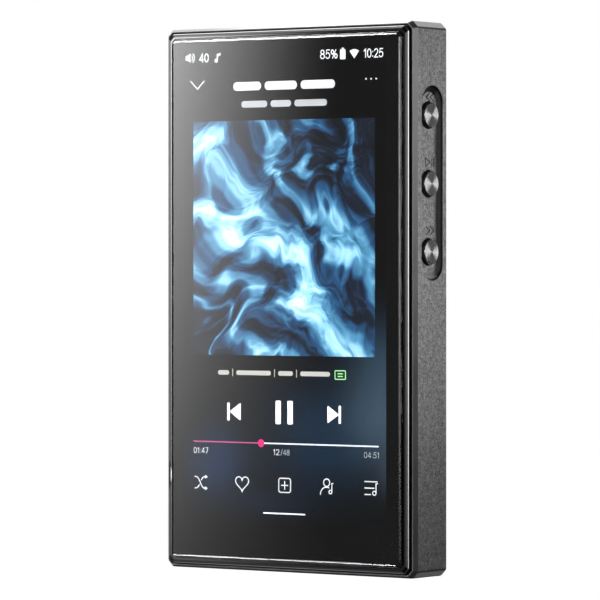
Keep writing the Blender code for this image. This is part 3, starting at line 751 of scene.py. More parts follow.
def soft_polygon(points, radius, steps=3):
    """A polygon with rounded corners."""
    made, count = [], len(points)
    for i, p in enumerate(points):
        p, a, b = Vector(p), Vector(points[i - 1]), Vector(points[(i + 1) % count])
        near, far = p + (a - p).normalized() * radius, p + (b - p).normalized() * radius
        for k in range(steps + 1):
            t = k / steps
            made.append(tuple(near * (1 - t) ** 2 + p * 2 * t * (1 - t) + far * t ** 2))
    return made


def ride(made, body, slot_name, *nodes):
    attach(made, body)
    if nodes:
        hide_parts(*nodes)
    return made


# ---------------------------------------------------------------- body

def recess_cutter(side):
    bm = bmesh.new()
    long, wide = (RECESS_HIGH - RECESS_LOW) / 2 + 0.14, RECESS_WIDTH / 2 + 0.05
    middle_z, middle_y = (RECESS_LOW + RECESS_HIGH) / 2, depth(KEY_DEPTH + 0.15)
    rows, bands = [], []
    for inset, rise, look in ((1.35, 0.0, 4), (0.12, 0.70, 4), (0.0, 0.89, 1), (-0.06, 0.95, 1), (-0.76, 1.65, 1)):
        rows.append((pill(long - inset, wide - inset), RECESS_FLOOR + rise))
        bands.append(look)
    bands.pop()
    stack(bm, rows, lambda u, v, a: (side * a, middle_y + v, middle_z + u), bands, (4, 0))
    return finish("recess_cutter", bm, BODY_LOOKS)


def hole_cutter():
    bm = bmesh.new()
    for side in (-1, 1):
        for z in KEY_HEIGHTS:
            radius = KEY_RADIUS + KEY_GAP
            turn(
                bm,
                ((0.0, 0.0), (radius, 0.0), (radius, 3.4), (radius + 0.1, 3.5), (radius + 0.3, 3.7), (0.0, 3.7)),
                (side * (RECESS_FLOOR - 3.5), depth(KEY_DEPTH), z), (side, 0, 0), 48, (2, 2, 1, 1, 1),
            )
    for x in (JACK_A_AT, JACK_B_AT):
        turn(
            bm,
            ((0.0, WALL + 1.0), (JACK_HOLE, WALL + 1.0), (JACK_HOLE, 0.15), (JACK_HOLE + 0.15, 0.0), (JACK_HOLE + 0.65, -0.5), (0.0, -0.5)),
            (x, depth(PORT_DEPTH), 0.0), (0, 0, 1), 48, (2, 2, 1, 1, 1),
        )
    long, wide = USB_HALF + 0.23, USB_RADIUS + 0.23
    stack(
        bm,
        [(pill(long, wide), WALL + 1.0), (pill(long, wide), 0.2), (pill(long + 0.2, wide + 0.2), 0.0), (pill(long + 0.7, wide + 0.7), -0.5)],
        lambda u, v, a: (USB_AT + u, depth(PORT_DEPTH) + v, a), (2, 1, 1),
    )
    wide = (CARD_FAR - CARD_NEAR) / 2
    outer = -WIDTH / 2
    stack(
        bm,
        [
            (pill(CARD_HALF, wide), outer + WALL + 1.0), (pill(CARD_HALF, wide), outer + 0.15),
            (pill(CARD_HALF + 0.15, wide + 0.15), outer), (pill(CARD_HALF + 0.65, wide + 0.65), outer - 0.5),
        ],
        lambda u, v, a: (a, depth((CARD_NEAR + CARD_FAR) / 2) + v, CARD_Z + u), (2, 1, 1),
    )
    return finish("hole_cutter", bm, BODY_LOOKS)


def mark_cutter():
    """Shallow engraved symbols on the two recess floors, one above each key."""
    bm = bmesh.new()
    near, far = RECESS_FLOOR - 0.10, RECESS_FLOOR + 0.25
    middle = depth(8.64)
    wide = 0.23

    def right(u, v, a):
        return (a, middle + u, v)

    def left(u, v, a):
        return (-a, depth(KEY_DEPTH + 0.15) - u, v)

    def chevrons(z, way):
        for shift in (-0.78, 0.78):
            tip = way * 0.68
            band(bm, ((shift - tip, z + 0.88), (shift + tip, z), (shift - tip, z - 0.88)), wide, near, far, right, index=2)

    chevrons(104.35, -1)
    band(bm, ((-1.62, 90.15 + 0.93), (0.08, 90.15), (-1.62, 90.15 - 0.93)), wide, near, far, right, closed=True, index=2)
    for u in (0.78, 1.50):
        band(bm, ((u, 90.15 + 0.86), (u, 90.15 - 0.86)), wide, near, far, right, index=2)
    chevrons(75.3, 1)

    band(bm, arc(0.0, 104.3, 0.72, 125, 415, 18), wide, near, far, left, index=2)
    band(bm, ((0.0, 104.35), (0.0, 105.25)), wide, near, far, left, index=2)
    plus = [(-0.1, 0.1), (-0.75, 0.1), (-0.75, -0.1), (-0.1, -0.1), (-0.1, -0.75), (0.1, -0.75), (0.1, -0.1), (0.75, -0.1), (0.75, 0.1), (0.1, 0.1), (0.1, 0.75), (-0.1, 0.75)]
    prism(bm, [(u, 90.0 + v) for u, v in plus], near, far, left, 2)
    band(bm, ((-0.65, 75.1), (0.65, 75.1)), wide, near, far, left, index=2)
    return finish("mark_cutter", bm, BODY_LOOKS)


def make_housing():
    rows = [
        (1.00, 0.70, 1.82, 3), (0.97, 0.67, 1.77, 3), (0.92, 0.63, 1.75, 3), (0.80, 0.54, 1.75, 3),
        (0.75, 0.50, 1.77, 1), (0.70, 0.46, 1.82, 1), (0.012, 0.008, 2.69, 1),
        (0.0, 0.0, 2.72, (0, 1)), (0.0, 0.0, 13.45, (0, 1)),
    ]
    for i in range(1, 7):
        t = math.pi / 2 * i / 6
        inset = 0.55 * (1 - math.cos(t))
        rows.append((inset, inset, 13.45 + 0.55 * math.sin(t), (0, 1)))
    rows += [
        (1.12, 1.12, 14.0, 1), (1.20, 1.20, 13.92, 0), (1.20, 1.20, 12.6, 0),
        (WALL, WALL, 12.6, 0), (WALL, WALL, 2.6, 2), (1.00, 0.70, 2.6, 2),
    ]
    outlines = []
    for ix, iz, d, _ in rows:
        inset = (ix + iz) / 2
        outlines.append((cut_loop(ix, iz, BODY_CUT - 0.42 * inset, BODY_ROUND - 0.2 * inset), d))
    bm = loft(outlines, True, [r[3] for r in rows])
    for face in bm.faces:
        spot = face.calc_center_median()
        if face.material_index == 1 and spot.z < 0.24 and abs(spot.x) > 31.0 and spot.y > depth(2.7):
            face.material_index = 2  # painted shade: the undersides of the lower corners take the near-black material
        # painted shade: the lowest part of the front chamfer takes the darker copy of the chamfer metal
        elif face.material_index == 1 and spot.z < 0.55 and spot.y < depth(2.7):
            face.material_index = 5
    body = finish("aluminium_body", bm, BODY_LOOKS)
    carve(body, [recess_cutter(1), recess_cutter(-1), hole_cutter()], 24)
    body.modifiers.clear()
    carve(body, [mark_cutter()], 24)
    return ride(body, "player_body", "blasted_aluminium", "housing")


# ---------------------------------------------------------------- front

def make_front():
    def wider_left(outline, by):
        """The outline with its left side moved out."""
        return [(x - by if x < -30.0 else x, z) for x, z in outline]

    rows = [
        (cut_loop(1.42, 1.06, 1.04, 0.40), 2.45, 3), (cut_loop(1.42, 1.06, 1.04, 0.40), 1.34, 0),
        (cut_loop(1.43, 1.07, 1.035, 0.40), 1.28, 0), (cut_loop(1.455, 1.095, 1.025, 0.40), 1.235, 1),
        (cut_loop(1.50, 1.135, 1.01, 0.40), 1.20, 1), (cut_loop(1.56, 1.19, 1.00, 0.40), 1.165, 0),
        (cut_loop(2.00, 1.62, 0.95, 0.38), 0.85, 0), (wider_left(cut_loop(2.24, 1.86, 0.93, 0.39), 0.08), 0.85, 2),
        (wider_left(cut_loop(2.44, 2.06, 0.90, 0.42), 0.07), 0.85, 0), (cut_loop(2.48, 2.10, 0.88, 0.44), 0.93, 0),
        (cut_loop(2.48, 2.10, 0.88, 0.44), 1.35, 0),
        (window_loop(WINDOW_X, WINDOW_LOW, WINDOW_HIGH, 0.6), 1.35, 0),
        (window_loop(WINDOW_X, WINDOW_LOW, WINDOW_HIGH, 0.6), 2.45, 0),
    ]
    bm = loft([(r[0], r[1]) for r in rows], True, [r[2] for r in rows])
    looks = (LOOKS["gloss_black_frame"], BRIGHT_EDGE, DARK_CHROME, RECESS_WALL)
    bezel = finish("bezel_ring", bm, looks)
    bm = bmesh.new()
    turn(
        bm, ((0.0, -0.3), (NOTCH_RADIUS, -0.3), (NOTCH_RADIUS, 1.2), (0.0, 1.2)),
        (-WIDTH / 2 + NOTCH_REACH - NOTCH_RADIUS, depth(0.05), NOTCH_Z), (0, 1, 0), 160,
    )
    carve(bezel, [finish("notch_cutter", bm, looks)], 22)
    ride(bezel, "player_body", "gloss_black_frame", "front_bezel")
    # the notch's inner lip is a polished sliver beside the glass
    tip, half, bow = -WIDTH / 2 + NOTCH_REACH - 0.05, 1.75, 0.22
    lip = []
    for i in range(17):
        s = -1 + i / 8
        lip.append((tip - bow * s * s, NOTCH_Z + half * s))
    for i in range(1, 16):
        s = 1 - i / 8
        lip.append((tip - bow * s * s - 0.25 * (1 - s * s), NOTCH_Z + half * s))
    bm = bmesh.new()
    prism(bm, lip, 0.82, 1.30)
    ride(finish("notch_lip", bm, (LIP,)), "player_body", "gloss_black_frame")

    rows = []
    for i in range(13):
        t = math.pi / 2 * i / 12
        s, c = math.sin(t), 1 - math.cos(t)
        rows.append((round_loop(3.5 - 0.82 * s, 3.16 - 0.84 * s, 0.7 + 0.4 * s), 0.55 * c))
    rows += [(round_loop(2.68, 2.32, 1.1), 0.86), (round_loop(2.72, 2.36, 1.06), 0.90)]
    cover = finish("glass_cover", loft(rows, False), (LOOKS["cover_glass"],), 50, True)
    ride(cover, "player_body", "cover_glass", "cover_glass")

    outer = round_loop(3.0, 2.65, 0.9)
    middle = (SCREEN_LEFT + SCREEN_RIGHT) / 2
    inner = [
        (x + middle, z)
        for x, z in window_loop((SCREEN_RIGHT - SCREEN_LEFT) / 2 + 0.12, SCREEN_LOW - 0.12, SCREEN_HIGH + 0.12, 0.3)
    ]
    bm = loft([(outer, INK_NEAR), (outer, INK_FAR), (inner, INK_FAR), (inner, INK_NEAR)], True)
    ride(finish("glass_border", bm, (INK,)), "player_body", "gloss_black_frame")


# ---------------------------------------------------------------- screen contents

def lay(name, bm, mat):
    return ride(finish(name, bm, (mat,)), "player_body", "display")


def oval(cx, cz, rx, rz, start, stop, steps):
    return [(cx + rx * (px - cx), cz + rz * (pz - cz)) for px, pz in arc(cx, cz, 1.0, start, stop, steps)]


def ring(cx, cz, rx, rz, steps=14):
    return oval(cx, cz, rx, rz, 0, 360, steps)[:-1]


# figures as strokes in a box 1 wide and 1 high; True closes a stroke
FIGURES = {
    "0": (1.0, ((ring(0.5, 0.5, 0.5, 0.5, 18), True),)),
    "1": (0.62, (([(0.05, 0.78), (0.75, 1.0), (0.75, 0.0)], False),)),
    "2": (1.0, ((oval(0.48, 0.72, 0.46, 0.28, 165, -28, 9) + [(0.04, 0.0), (1.0, 0.0)], False),)),
    "3": (1.0, ((oval(0.46, 0.755, 0.44, 0.245, 150, -78, 8) + oval(0.46, 0.265, 0.52, 0.265, 78, -155, 9), False),)),
    "4": (1.05, (([(0.74, 0.0), (0.74, 1.0), (0.0, 0.28), (1.0, 0.28)], False),)),
    "5": (1.0, (([(0.92, 1.0), (0.20, 1.0), (0.12, 0.54)] + oval(0.46, 0.33, 0.52, 0.33, 128, -150, 10), False),)),
    "7": (0.95, (([(0.0, 1.0), (1.0, 1.0), (0.36, 0.0)], False),)),
    "8": (1.0, ((ring(0.5, 0.76, 0.41, 0.24), True), (ring(0.5, 0.26, 0.5, 0.26), True))),
    ":": (0.25, (([(0.5, 0.12), (0.5, 0.14)], False), ([(0.5, 0.66), (0.5, 0.68)], False))),
    "/": (0.6, (([(0.0, -0.1), (1.0, 1.06)], False),)),
    "%": (1.5, (([(0.22, 0.0), (0.78, 1.0)], False), (ring(0.2, 0.74, 0.2, 0.26, 12), True), (ring(0.8, 0.26, 0.2, 0.26, 12), True))),
}


def digits(bm, text, x0, x1, z0, z1, line=0.2):
    """Sets figures into a box, drawn with lines of even width."""
    gap = 0.36
    total = sum(FIGURES[c][0] for c in text) + gap * (len(text) - 1)
    unit = (x1 - x0 - line) / total
    at = x0 + line / 2
    low, tall = z0 + line / 2, z1 - z0 - line
    for char in text:
        wide, strokes = FIGURES[char]
        for points, closed in strokes:
            placed = [(at + px * wide * unit, low + pz * tall) for px, pz in points]
            band(bm, placed, line, ICON_NEAR, ICON_FAR, closed=closed)
        at += (wide + gap) * unit


def shift(points, x, z):
    return [(px + x, pz + z) for px, pz in points]


def make_status():
    near, far = ICON_NEAR, ICON_FAR
    bm = bmesh.new()
    # speaker with two waves
    prism(bm, [(-27.50, 113.62), (-26.90, 113.62), (-26.20, 113.05), (-26.20, 115.22), (-26.90, 114.65), (-27.50, 114.65)], near, far)
    band(bm, arc(-26.30, 114.14, 0.70, -48, 48, 8), 0.2, near, far)
    band(bm, arc(-26.30, 114.14, 1.22, -52, 52, 10), 0.2, near, far)
    digits(bm, "40", -23.72, -21.05, 113.05, 115.08, 0.24)
    # a single note
    prism(bm, disc_outline(-18.98, 113.36, 0.42, 16), near, far)
    prism(bm, [(-18.82, 113.36), (-18.56, 113.36), (-18.56, 114.28), (-17.80, 114.58), (-17.80, 115.05), (-18.82, 114.82)], near, far)
    digits(bm, "85%", 9.45, 14.15, 112.92, 115.0, 0.24)
    # battery
    prism(bm, rounded(14.80, 16.26, 112.74, 114.92, 0.18), near, far)
    prism(bm, rounded(15.24, 15.82, 114.94, 115.28, 0.1), near, far)
    # signal fan
    prism(bm, [(18.60, 112.86)] + arc(18.60, 112.86, 2.02, 52, 128, 10), near, far)
    digits(bm, "10:25", 21.05, 26.30, 112.86, 114.90, 0.24)
    # chevron
    band(bm, ((-26.10, 108.90), (-24.22, 107.16), (-22.34, 108.90)), 0.24, near, far)
    lay("status_icons", bm, lit("lit_status_white", (0.80, 0.81, 0.82), 1.0))
    # menu dots
    bm = bmesh.new()
    for x in (21.72, 23.07, 24.42):
        prism(bm, disc_outline(x, 108.30, 0.2, 14), near, far)
    lay("menu_dots", bm, SOFT_WHITE)

    # plain bars stand in the places of the title lines
    bm = bmesh.new()
    for x0, x1 in ((-14.25, -6.6), (-5.6, 3.2), (4.2, 13.45)):
        prism(bm, rounded(x0, x1, 106.52, 108.42, 0.92, 6), near, far)
    lay("title_bars", bm, lit("lit_title_white", (0.74, 0.75, 0.77), 0.95))
    bm = bmesh.new()
    for x0, x1 in ((-12.0, -4.9), (-4.0, 1.6), (2.5, 11.3)):
        prism(bm, rounded(x0, x1, 102.72, 104.20, 0.72, 6), near, far)
    lay("subtitle_bars", bm, lit("lit_dim_white", (0.50, 0.515, 0.53), 0.95))
    bm = bmesh.new()
    for x0, x1 in ((-18.45, -15.4), (-13.4, -3.9), (-1.9, 2.1), (4.1, 12.1)):
        prism(bm, rounded(x0, x1, 43.44, 44.46, 0.48, 5), near, far)
    for x in (-14.4, -2.9, 3.1):
        prism(bm, rounded(x - 0.09, x + 0.09, 43.10, 44.84, 0.08, 3), near, far)
    lay("format_bars", bm, lit("lit_warm_white", (0.55, 0.54, 0.50), 0.9))
    # a plain green badge
    bm = bmesh.new()
    band(bm, rounded(13.46, 16.26, 42.90, 44.76, 0.2), 0.22, near, far, closed=True)
    for z in (43.54, 44.10):
        prism(bm, rounded(14.15, 15.57, z - 0.11, z + 0.11, 0.1, 3), near, far)
    lay("badge_frame", bm, GREEN)
    bm = bmesh.new()
    prism(bm, rounded(13.46, 16.26, 42.90, 44.76, 0.2), ICON_FAR + 0.005, ICON_FAR + 0.015)
    lay("badge_ground", bm, DEEP_GREEN)


def make_transport():
    near, far = ICON_NEAR, ICON_FAR
    bm = bmesh.new()
    # back: a bar and a triangle that points left
    prism(bm, rounded(-15.90, -15.24, 33.28, 37.26, 0.25), near, far)
    prism(bm, soft_polygon([(-12.18, 33.26), (-12.18, 37.28), (-15.28, 35.27)], 0.35), near, far)
    # pause
    prism(bm, rounded(-2.62, -1.17, 32.76, 37.94, 0.25), near, far)
    prism(bm, rounded(0.62, 2.07, 32.76, 37.94, 0.25), near, far)
    # forward
    prism(bm, soft_polygon([(11.43, 33.18), (14.50, 35.16), (11.43, 37.14)], 0.35), near, far)
    prism(bm, rounded(14.42, 15.06, 33.18, 37.14, 0.25), near, far)
    lay("transport_icons", bm, WHITE)

    bm = bmesh.new()
    prism(bm, rounded(-25.30, -6.6, 28.33, 28.61, 0.13), near, far)
    lay("progress_done", bm, lit("lit_dim_pink", (0.48, 0.085, 0.225), 1.0))
    bm = bmesh.new()
    prism(bm, disc_outline(-6.56, 28.44, 0.87, 32), near - 0.012, near - 0.002)
    lay("progress_knob", bm, PINK)
    bm = bmesh.new()
    prism(bm, rounded(-6.5, 25.05, 28.31, 28.62, 0.14), near, far)
    lay("progress_left", bm, PALE)

    bm = bmesh.new()
    digits(bm, "01:47", -25.25, -21.20, 25.80, 27.12, 0.095)
    digits(bm, "12", -3.30, -1.55, 25.92, 27.20, 0.095)
    lay("time_figures", bm, lit("lit_time_white", (0.86, 0.89, 0.92), 1.25))
    bm = bmesh.new()
    digits(bm, "/48", -1.25, 1.20, 25.92, 27.20, 0.095)
    digits(bm, "04:51", 21.20, 25.20, 25.90, 27.20, 0.095)
    lay("time_figures_dim", bm, lit("lit_time_grey", (0.46, 0.50, 0.54), 1.0))


def make_tools():
    near, far = ICON_NEAR, ICON_FAR
    line = 0.25
    bm = bmesh.new()
    # shuffle: two crossing lines with arrow heads
    x, z = -23.22, 19.30
    for way in (-1, 1):
        curve = []
        for i in range(21):
            t = i / 20
            s = t * t * (3 - 2 * t)
            s = s * s * (3 - 2 * s)
            curve.append((x - 1.70 + 3.0 * t, z + way * (1.28 - 2.56 * s)))
        band(bm, curve if way > 0 else curve[:9], line, near, far)
        if way < 0:
            band(bm, curve[12:], line, near, far)
        tip = (x + 1.88, z - way * 1.28)
        prism(bm, [(tip[0] - 0.74, tip[1] - 0.46), tip, (tip[0] - 0.74, tip[1] + 0.46)], near, far)
    # heart
    x, z = -11.80, 19.30
    heart = []
    for i in range(40):
        t = 2 * math.pi * i / 40
        hx = 16 * math.sin(t) ** 3
        hz = 13 * math.cos(t) - 5 * math.cos(2 * t) - 2 * math.cos(3 * t) - math.cos(4 * t)
        heart.append((x + hx * 0.113, z + 0.22 + hz * 0.112))
    band(bm, heart, line, near, far, closed=True)
    # plus in a rounded square
    x, z = -0.13, 19.31
    band(bm, rounded(x - 1.6, x + 1.6, z - 1.55, z + 1.55, 0.5), line, near, far, closed=True)
    cross = [(-0.12, 0.12), (-0.95, 0.12), (-0.95, -0.12), (-0.12, -0.12), (-0.12, -0.95), (0.12, -0.95), (0.12, -0.12), (0.95, -0.12), (0.95, 0.12), (0.12, 0.12), (0.12, 0.95), (-0.12, 0.95)]
    prism(bm, shift(cross, x, z), near, far)
    # listener with a note
    x, z = 11.50, 19.36
    band(bm, disc_outline(x - 0.28, z + 0.88, 0.82, 20), line, near, far, closed=True)
    band(bm, arc(x - 0.33, z - 1.72, 1.62, 180, 66, 12), line, near, far)
    note(bm, x + 0.72, z - 1.14, 0.50, 1.85, 0.34)
    # queue with a note
    x, z = 23.12, 19.38
    for dz, end in ((1.42, 1.55), (0.02, 0.72), (-1.38, -0.20)):
        band(bm, ((x - 1.72, z + dz), (x + end, z + dz)), line, near, far)
    note(bm, x + 0.80, z - 1.06, 0.55, 2.05, 0.42)
    lay("tool_icons", bm, lit("lit_tool_white", (0.78, 0.80, 0.82), 0.95))

    bm = bmesh.new()
    prism(bm, rounded(-6.0, 5.40, 12.90, 13.20, 0.14), near, far)
    lay("home_bar", bm, WHITE)


def note(bm, x, z, radius, tall, flag):
    near, far = ICON_NEAR, ICON_FAR
    wide = 0.22
    stem = x + radius - wide / 2
    band(bm, disc_outline(x, z, radius - wide / 2, 16), wide, near, far, closed=True)
    band(bm, ((stem, z + 0.1), (stem, z + tall), (stem + flag, z + tall + 0.06)), wide, near, far)


def make_screen():
    bm = bmesh.new()
    under = 0.5  # reaches under the printed border on every side
    prism(bm, rounded(SCREEN_LEFT - under, SCREEN_RIGHT + under, SCREEN_LOW - under, SCREEN_HIGH + under, 0.15, 3), BACK_NEAR, BACK_FAR)
    lay("screen_backdrop", bm, screen_glow())
    bm = bmesh.new()
    prism(bm, rounded(*ART, 0.25, 3), ART_NEAR, ART_FAR)
    lay("album_art", bm, poured_art())
    make_status()
    make_transport()
    make_tools()


# ---------------------------------------------------------------- keys

def make_keys():
    profile, bands = [(0.0, -0.020)], []
    radius = 0.16
    while radius < 2.36:
        profile.append((radius, -0.020 + 0.016 * radius / 2.4))
        profile.append((radius + 0.05, -0.020 + 0.016 * radius / 2.4 - 0.004))
        radius += 0.11
    bands = [0] * len(profile)
    edge = ((2.42, 0.0), (2.52, -0.012), (2.61, -0.045), (2.68, -0.10), (2.73, -0.17), (KEY_RADIUS, -0.26))
    profile += edge
    bands += [1] * (len(edge) - 1)
    tail = ((KEY_RADIUS, -2.5), (3.35, -2.7), (3.35, -3.2), (1.0, -3.2), (1.0, -3.7), (0.0, -3.7))
    profile += tail
    bands += [2] * len(tail)
    # painted shade: the keys' sides are a darker metal than their faces, for the shade in the gap around each key
    painted_shade_flank = grained("key_flank_painted_shade_look", (0.050, 0.050, 0.052), (0.085, 0.085, 0.088), 0.3, (0.34, 0.46), 1.0, 0.004).mat
    looks = (LOOKS["turned_aluminium"], polished_rim(), painted_shade_flank)
    for side, names in ((1, ("previous", "play", "next")), (-1, ("power", "volume_up", "volume_down"))):
        for name, z in zip(names, KEY_HEIGHTS):
            bm = bmesh.new()
            turn(bm, profile, (side * WIDTH / 2, depth(KEY_DEPTH), z), (side, 0, 0), 72, bands)
            cap = finish(f"{name}_cap", bm, looks, 40)
            ride(cap, f"{name}_key", "turned_aluminium", f"{name}_button")


def polished_rim():
    sh = Shade("key_rim_look")
    grain = sh.noise(0.3, 2.0)
    sh.set(Base_Color=sh.mix(grain, (0.22, 0.22, 0.225), (0.30, 0.30, 0.305)), Metallic=1.0)
    sh.set(Roughness=sh.span(grain, 0.3, 0.7, 0.20, 0.30))
    return sh.mat


# ---------------------------------------------------------------- back and sockets

def make_back():
    rows = [
        (cut_loop(1.40, 1.40, 0.80, 0.52), 12.95), (cut_loop(1.40, 1.40, 0.80, 0.52), 13.80),
        (cut_loop(1.43, 1.43, 0.79, 0.52), 13.89), (cut_loop(1.50, 1.50, 0.77, 0.52), 13.955),
        (cut_loop(1.62, 1.62, 0.74, 0.52), 13.99), (cut_loop(1.80, 1.80, 0.70, 0.52), 14.0),
    ]
    panel = finish("rear_panel", loft(rows, False), (LOOKS["rear_panel"],), 40, True)
    ride(panel, "player_body", "rear_panel", "rear_cover")


def make_sockets():
    near = depth(PORT_DEPTH)
    for name, x, bore, look, slot_name in (
        ("jack_3_5", JACK_A_AT, JACK_A_BORE, "steel", "steel"),
        ("jack_4_4", JACK_B_AT, JACK_B_BORE, "gold_plate", "gold_plate"),
    ):
        inner = bore + 0.05
        profile = [(inner, WALL - 0.05), (inner, 0.5)]
        for i in range(1, 7):
            t = math.pi / 2 * i / 6
            profile.append((inner + 0.4 * (1 - math.cos(t)), 0.5 - 0.44 * math.sin(t)))
        profile += [(JACK_RING - 0.32, 0.06), (JACK_RING - 0.26, 0.04), (JACK_RING - 0.14, 0.05), (JACK_RING - 0.04, 0.11), (JACK_RING, 0.22), (JACK_RING, WALL - 0.05), (inner, WALL - 0.05)]
        bm = bmesh.new()
        turn(bm, profile, (x, near, 0.0), (0, 0, 1), 64)
        bmesh.ops.remove_doubles(bm, verts=bm.verts[:], dist=0.001)
        ring = finish(f"{name}_collar", bm, (LOOKS[look],), 35)
        ride(ring, "player_body", slot_name, f"{name}_ring")
    # gold contacts along both faces of the receptacle's tongue
    bm = bmesh.new()
    for side in (-1, 1):
        for i in range(12):
            x = USB_AT + (i - 5.5) * 0.5
            y0 = near + side * 0.355
            y1 = near + side * 0.385
            outline = rounded(x - 0.13, x + 0.13, 1.45, 5.2, 0.08, 3)
            stack(bm, [(outline, y0), (outline, y1)], lambda u, v, a: (u, a, v))
    ride(finish("usb_c_contacts", bm, (LOOKS["gold_plate"],)), "player_body", "gold_plate")


# ---------------------------------------------------------------- stage

def emissive(name, build):
    """A light card's material: emission that build makes from the card's own coordinates, added to what lies behind."""
    mat = bpy.data.materials.new(name)
    mat.use_nodes = True
    tree = mat.node_tree
    tree.nodes.clear()
    out = tree.nodes.new("ShaderNodeOutputMaterial")
    glow = tree.nodes.new("ShaderNodeEmission")
    both = tree.nodes.new("ShaderNodeAddShader")
    tree.links.new(glow.outputs[0], both.inputs[0])
    tree.links.new(tree.nodes.new("ShaderNodeBsdfTransparent").outputs[0], both.inputs[1])
    tree.links.new(both.outputs[0], out.inputs["Surface"])
    build(tree, glow)
    return mat


def card(name, centre, facing, width, height, power, across=None, upward=None):
    """A soft light panel that only shows in reflections. across and upward are (from, to, low, high, bend)
    falloffs along its width and height in millimetres from its centre."""
    mesh = bpy.data.meshes.new(name)
    w, h = width / 2 * MM, height / 2 * MM
    mesh.from_pydata([(-w, -h, 0), (w, -h, 0), (w, h, 0), (-w, h, 0)], [], [(0, 1, 2, 3)])
    made = bpy.data.objects.new(name, mesh)
    bpy.context.scene.collection.objects.link(made)
    front = Vector(facing).normalized()
    side = Vector((0, 0, 1)).cross(front).normalized()
    up = front.cross(side)
    made.matrix_world = Matrix(
        (
            (side.x, up.x, front.x, centre[0] * MM),
            (side.y, up.y, front.y, centre[1] * MM),
            (side.z, up.z, front.z, centre[2] * MM),
            (0, 0, 0, 1),
        )
    )

    def build(tree, glow):
        glow.inputs["Strength"].default_value = power
        spots = tree.nodes.new("ShaderNodeTexCoord")
        split = tree.nodes.new("ShaderNodeSeparateXYZ")
        tree.links.new(spots.outputs["Object"], split.inputs[0])
        value = None
        for falloff, socket in ((across, split.outputs[0]), (upward, split.outputs[1])):
            if not falloff:
                continue
            a, b, low, high, bend = falloff
            ramp = tree.nodes.new("ShaderNodeMapRange")
            tree.links.new(socket, ramp.inputs["Value"])
            for key, number in (("From Min", a * MM), ("From Max", b * MM), ("To Min", low), ("To Max", high)):
                ramp.inputs[key].default_value = number
            curve = tree.nodes.new("ShaderNodeMath")
            curve.operation = "POWER"
            tree.links.new(ramp.outputs[0], curve.inputs[0])
            curve.inputs[1].default_value = bend
            times = tree.nodes.new("ShaderNodeMath")
            times.operation = "MULTIPLY"
            tree.links.new(curve.outputs[0], times.inputs[0])
            if value is None:
                times.inputs[1].default_value = power
            else:
                tree.links.new(value, times.inputs[1])
            value = times.outputs[0]
        if value is not None:
            tree.links.new(value, glow.inputs["Strength"])

    mesh.materials.append(emissive(name + "_glow", build))
    made.visible_camera = False
    made.visible_diffuse = False
    made.visible_transmission = False
    made.visible_shadow = False
    return made


def direction(azimuth, elevation=0.0):
    """Azimuth from the front (-Y) towards +X."""
    a, e = math.radians(azimuth), math.radians(elevation)
    return Vector((math.sin(a) * math.cos(e), -math.cos(a) * math.cos(e), math.sin(e)))


def patch(name, from_az, to_az, from_el, to_el, power, upward=None, away=700.0):
    """A panel that fills a range of directions as seen from the middle of the player."""
    elevation = (from_el + to_el) / 2
    way = direction((from_az + to_az) / 2, elevation)
    width = 2 * away * math.tan(math.radians((to_az - from_az) / 2)) * math.cos(math.radians(elevation))
    height = 2 * away * math.tan(math.radians((to_el - from_el) / 2))
    return card(name, Vector((0.0, 0.0, 60.0)) + way * away, -way, width, height, power, None, upward)


def screen_beside(name, from_az, to_az, away, low, high, power):
    """An upright panel close to the key side, from one height to another."""
    way = direction((from_az + to_az) / 2)
    width = 2 * away * math.tan(math.radians((to_az - from_az) / 2))
    centre = Vector((WIDTH / 2, 0.0, (low + high) / 2)) + way * away
    return card(name, centre, -way, width, high - low, power)


# name: azimuth range, elevation range, strength, fade upwards as card() takes it
PANELS = {
    "front_top": (-62.0, -33.0, 13.0, 46.0, 24.0, None),
    "left_top": (-110.0, -62.0, 42.0, 68.0, 3.3, None),
    "back_left_top": (-165.0, -110.0, 25.0, 60.0, 1.45, None),
    "front_edge": (-14.0, 6.0, -12.0, 12.0, 3.9, (-130.0, 90.0, 0.0, 1.0, 1.3)),
    "right_front": (6.0, 26.0, -12.0, 12.0, 10.5, (-130.0, 90.0, 0.0, 1.0, 1.3)),
    "right_mid": (27.0, 46.0, -12.0, 12.0, 3.6, (-170.0, 20.0, 0.0, 1.0, 1.0)),
    "back_top": (165.0, 195.0, 26.0, 46.0, 1.25, None),
    "front_low": (-62.0, -33.0, -37.0, -19.0, 22.0, None),
    "front_fill": (-52.0, -20.0, -15.0, 15.0, 0.11, None),
    "left_low": (-100.0, -62.0, -60.0, -40.0, 0.5, None),
    "back_low": (165.0, 195.0, -46.0, -26.0, 0.3, None),
    "rear_wide": (200.0, 234.0, -10.0, 18.0, 2.5, (-170.0, 170.0, 0.15, 1.0, 1.0)),
    "left_edge": (-118.0, -92.0, -12.0, 12.0, 1.4, (-150.0, 150.0, 0.2, 1.1, 1.0)),
}
# name: azimuth range, distance, height range, strength
SIDE_PANELS = {
    "right_side": (50.0, 98.0, 300.0, 82.0, 250.0, 0.75),
    "right_back": (104.0, 126.0, 190.0, 24.0, 140.0, 6.4),
    "far_back": (152.0, 166.0, 190.0, 24.0, 140.0, 1.0),
}
FADE_POWER = 10.6
AMBIENT = 0.06


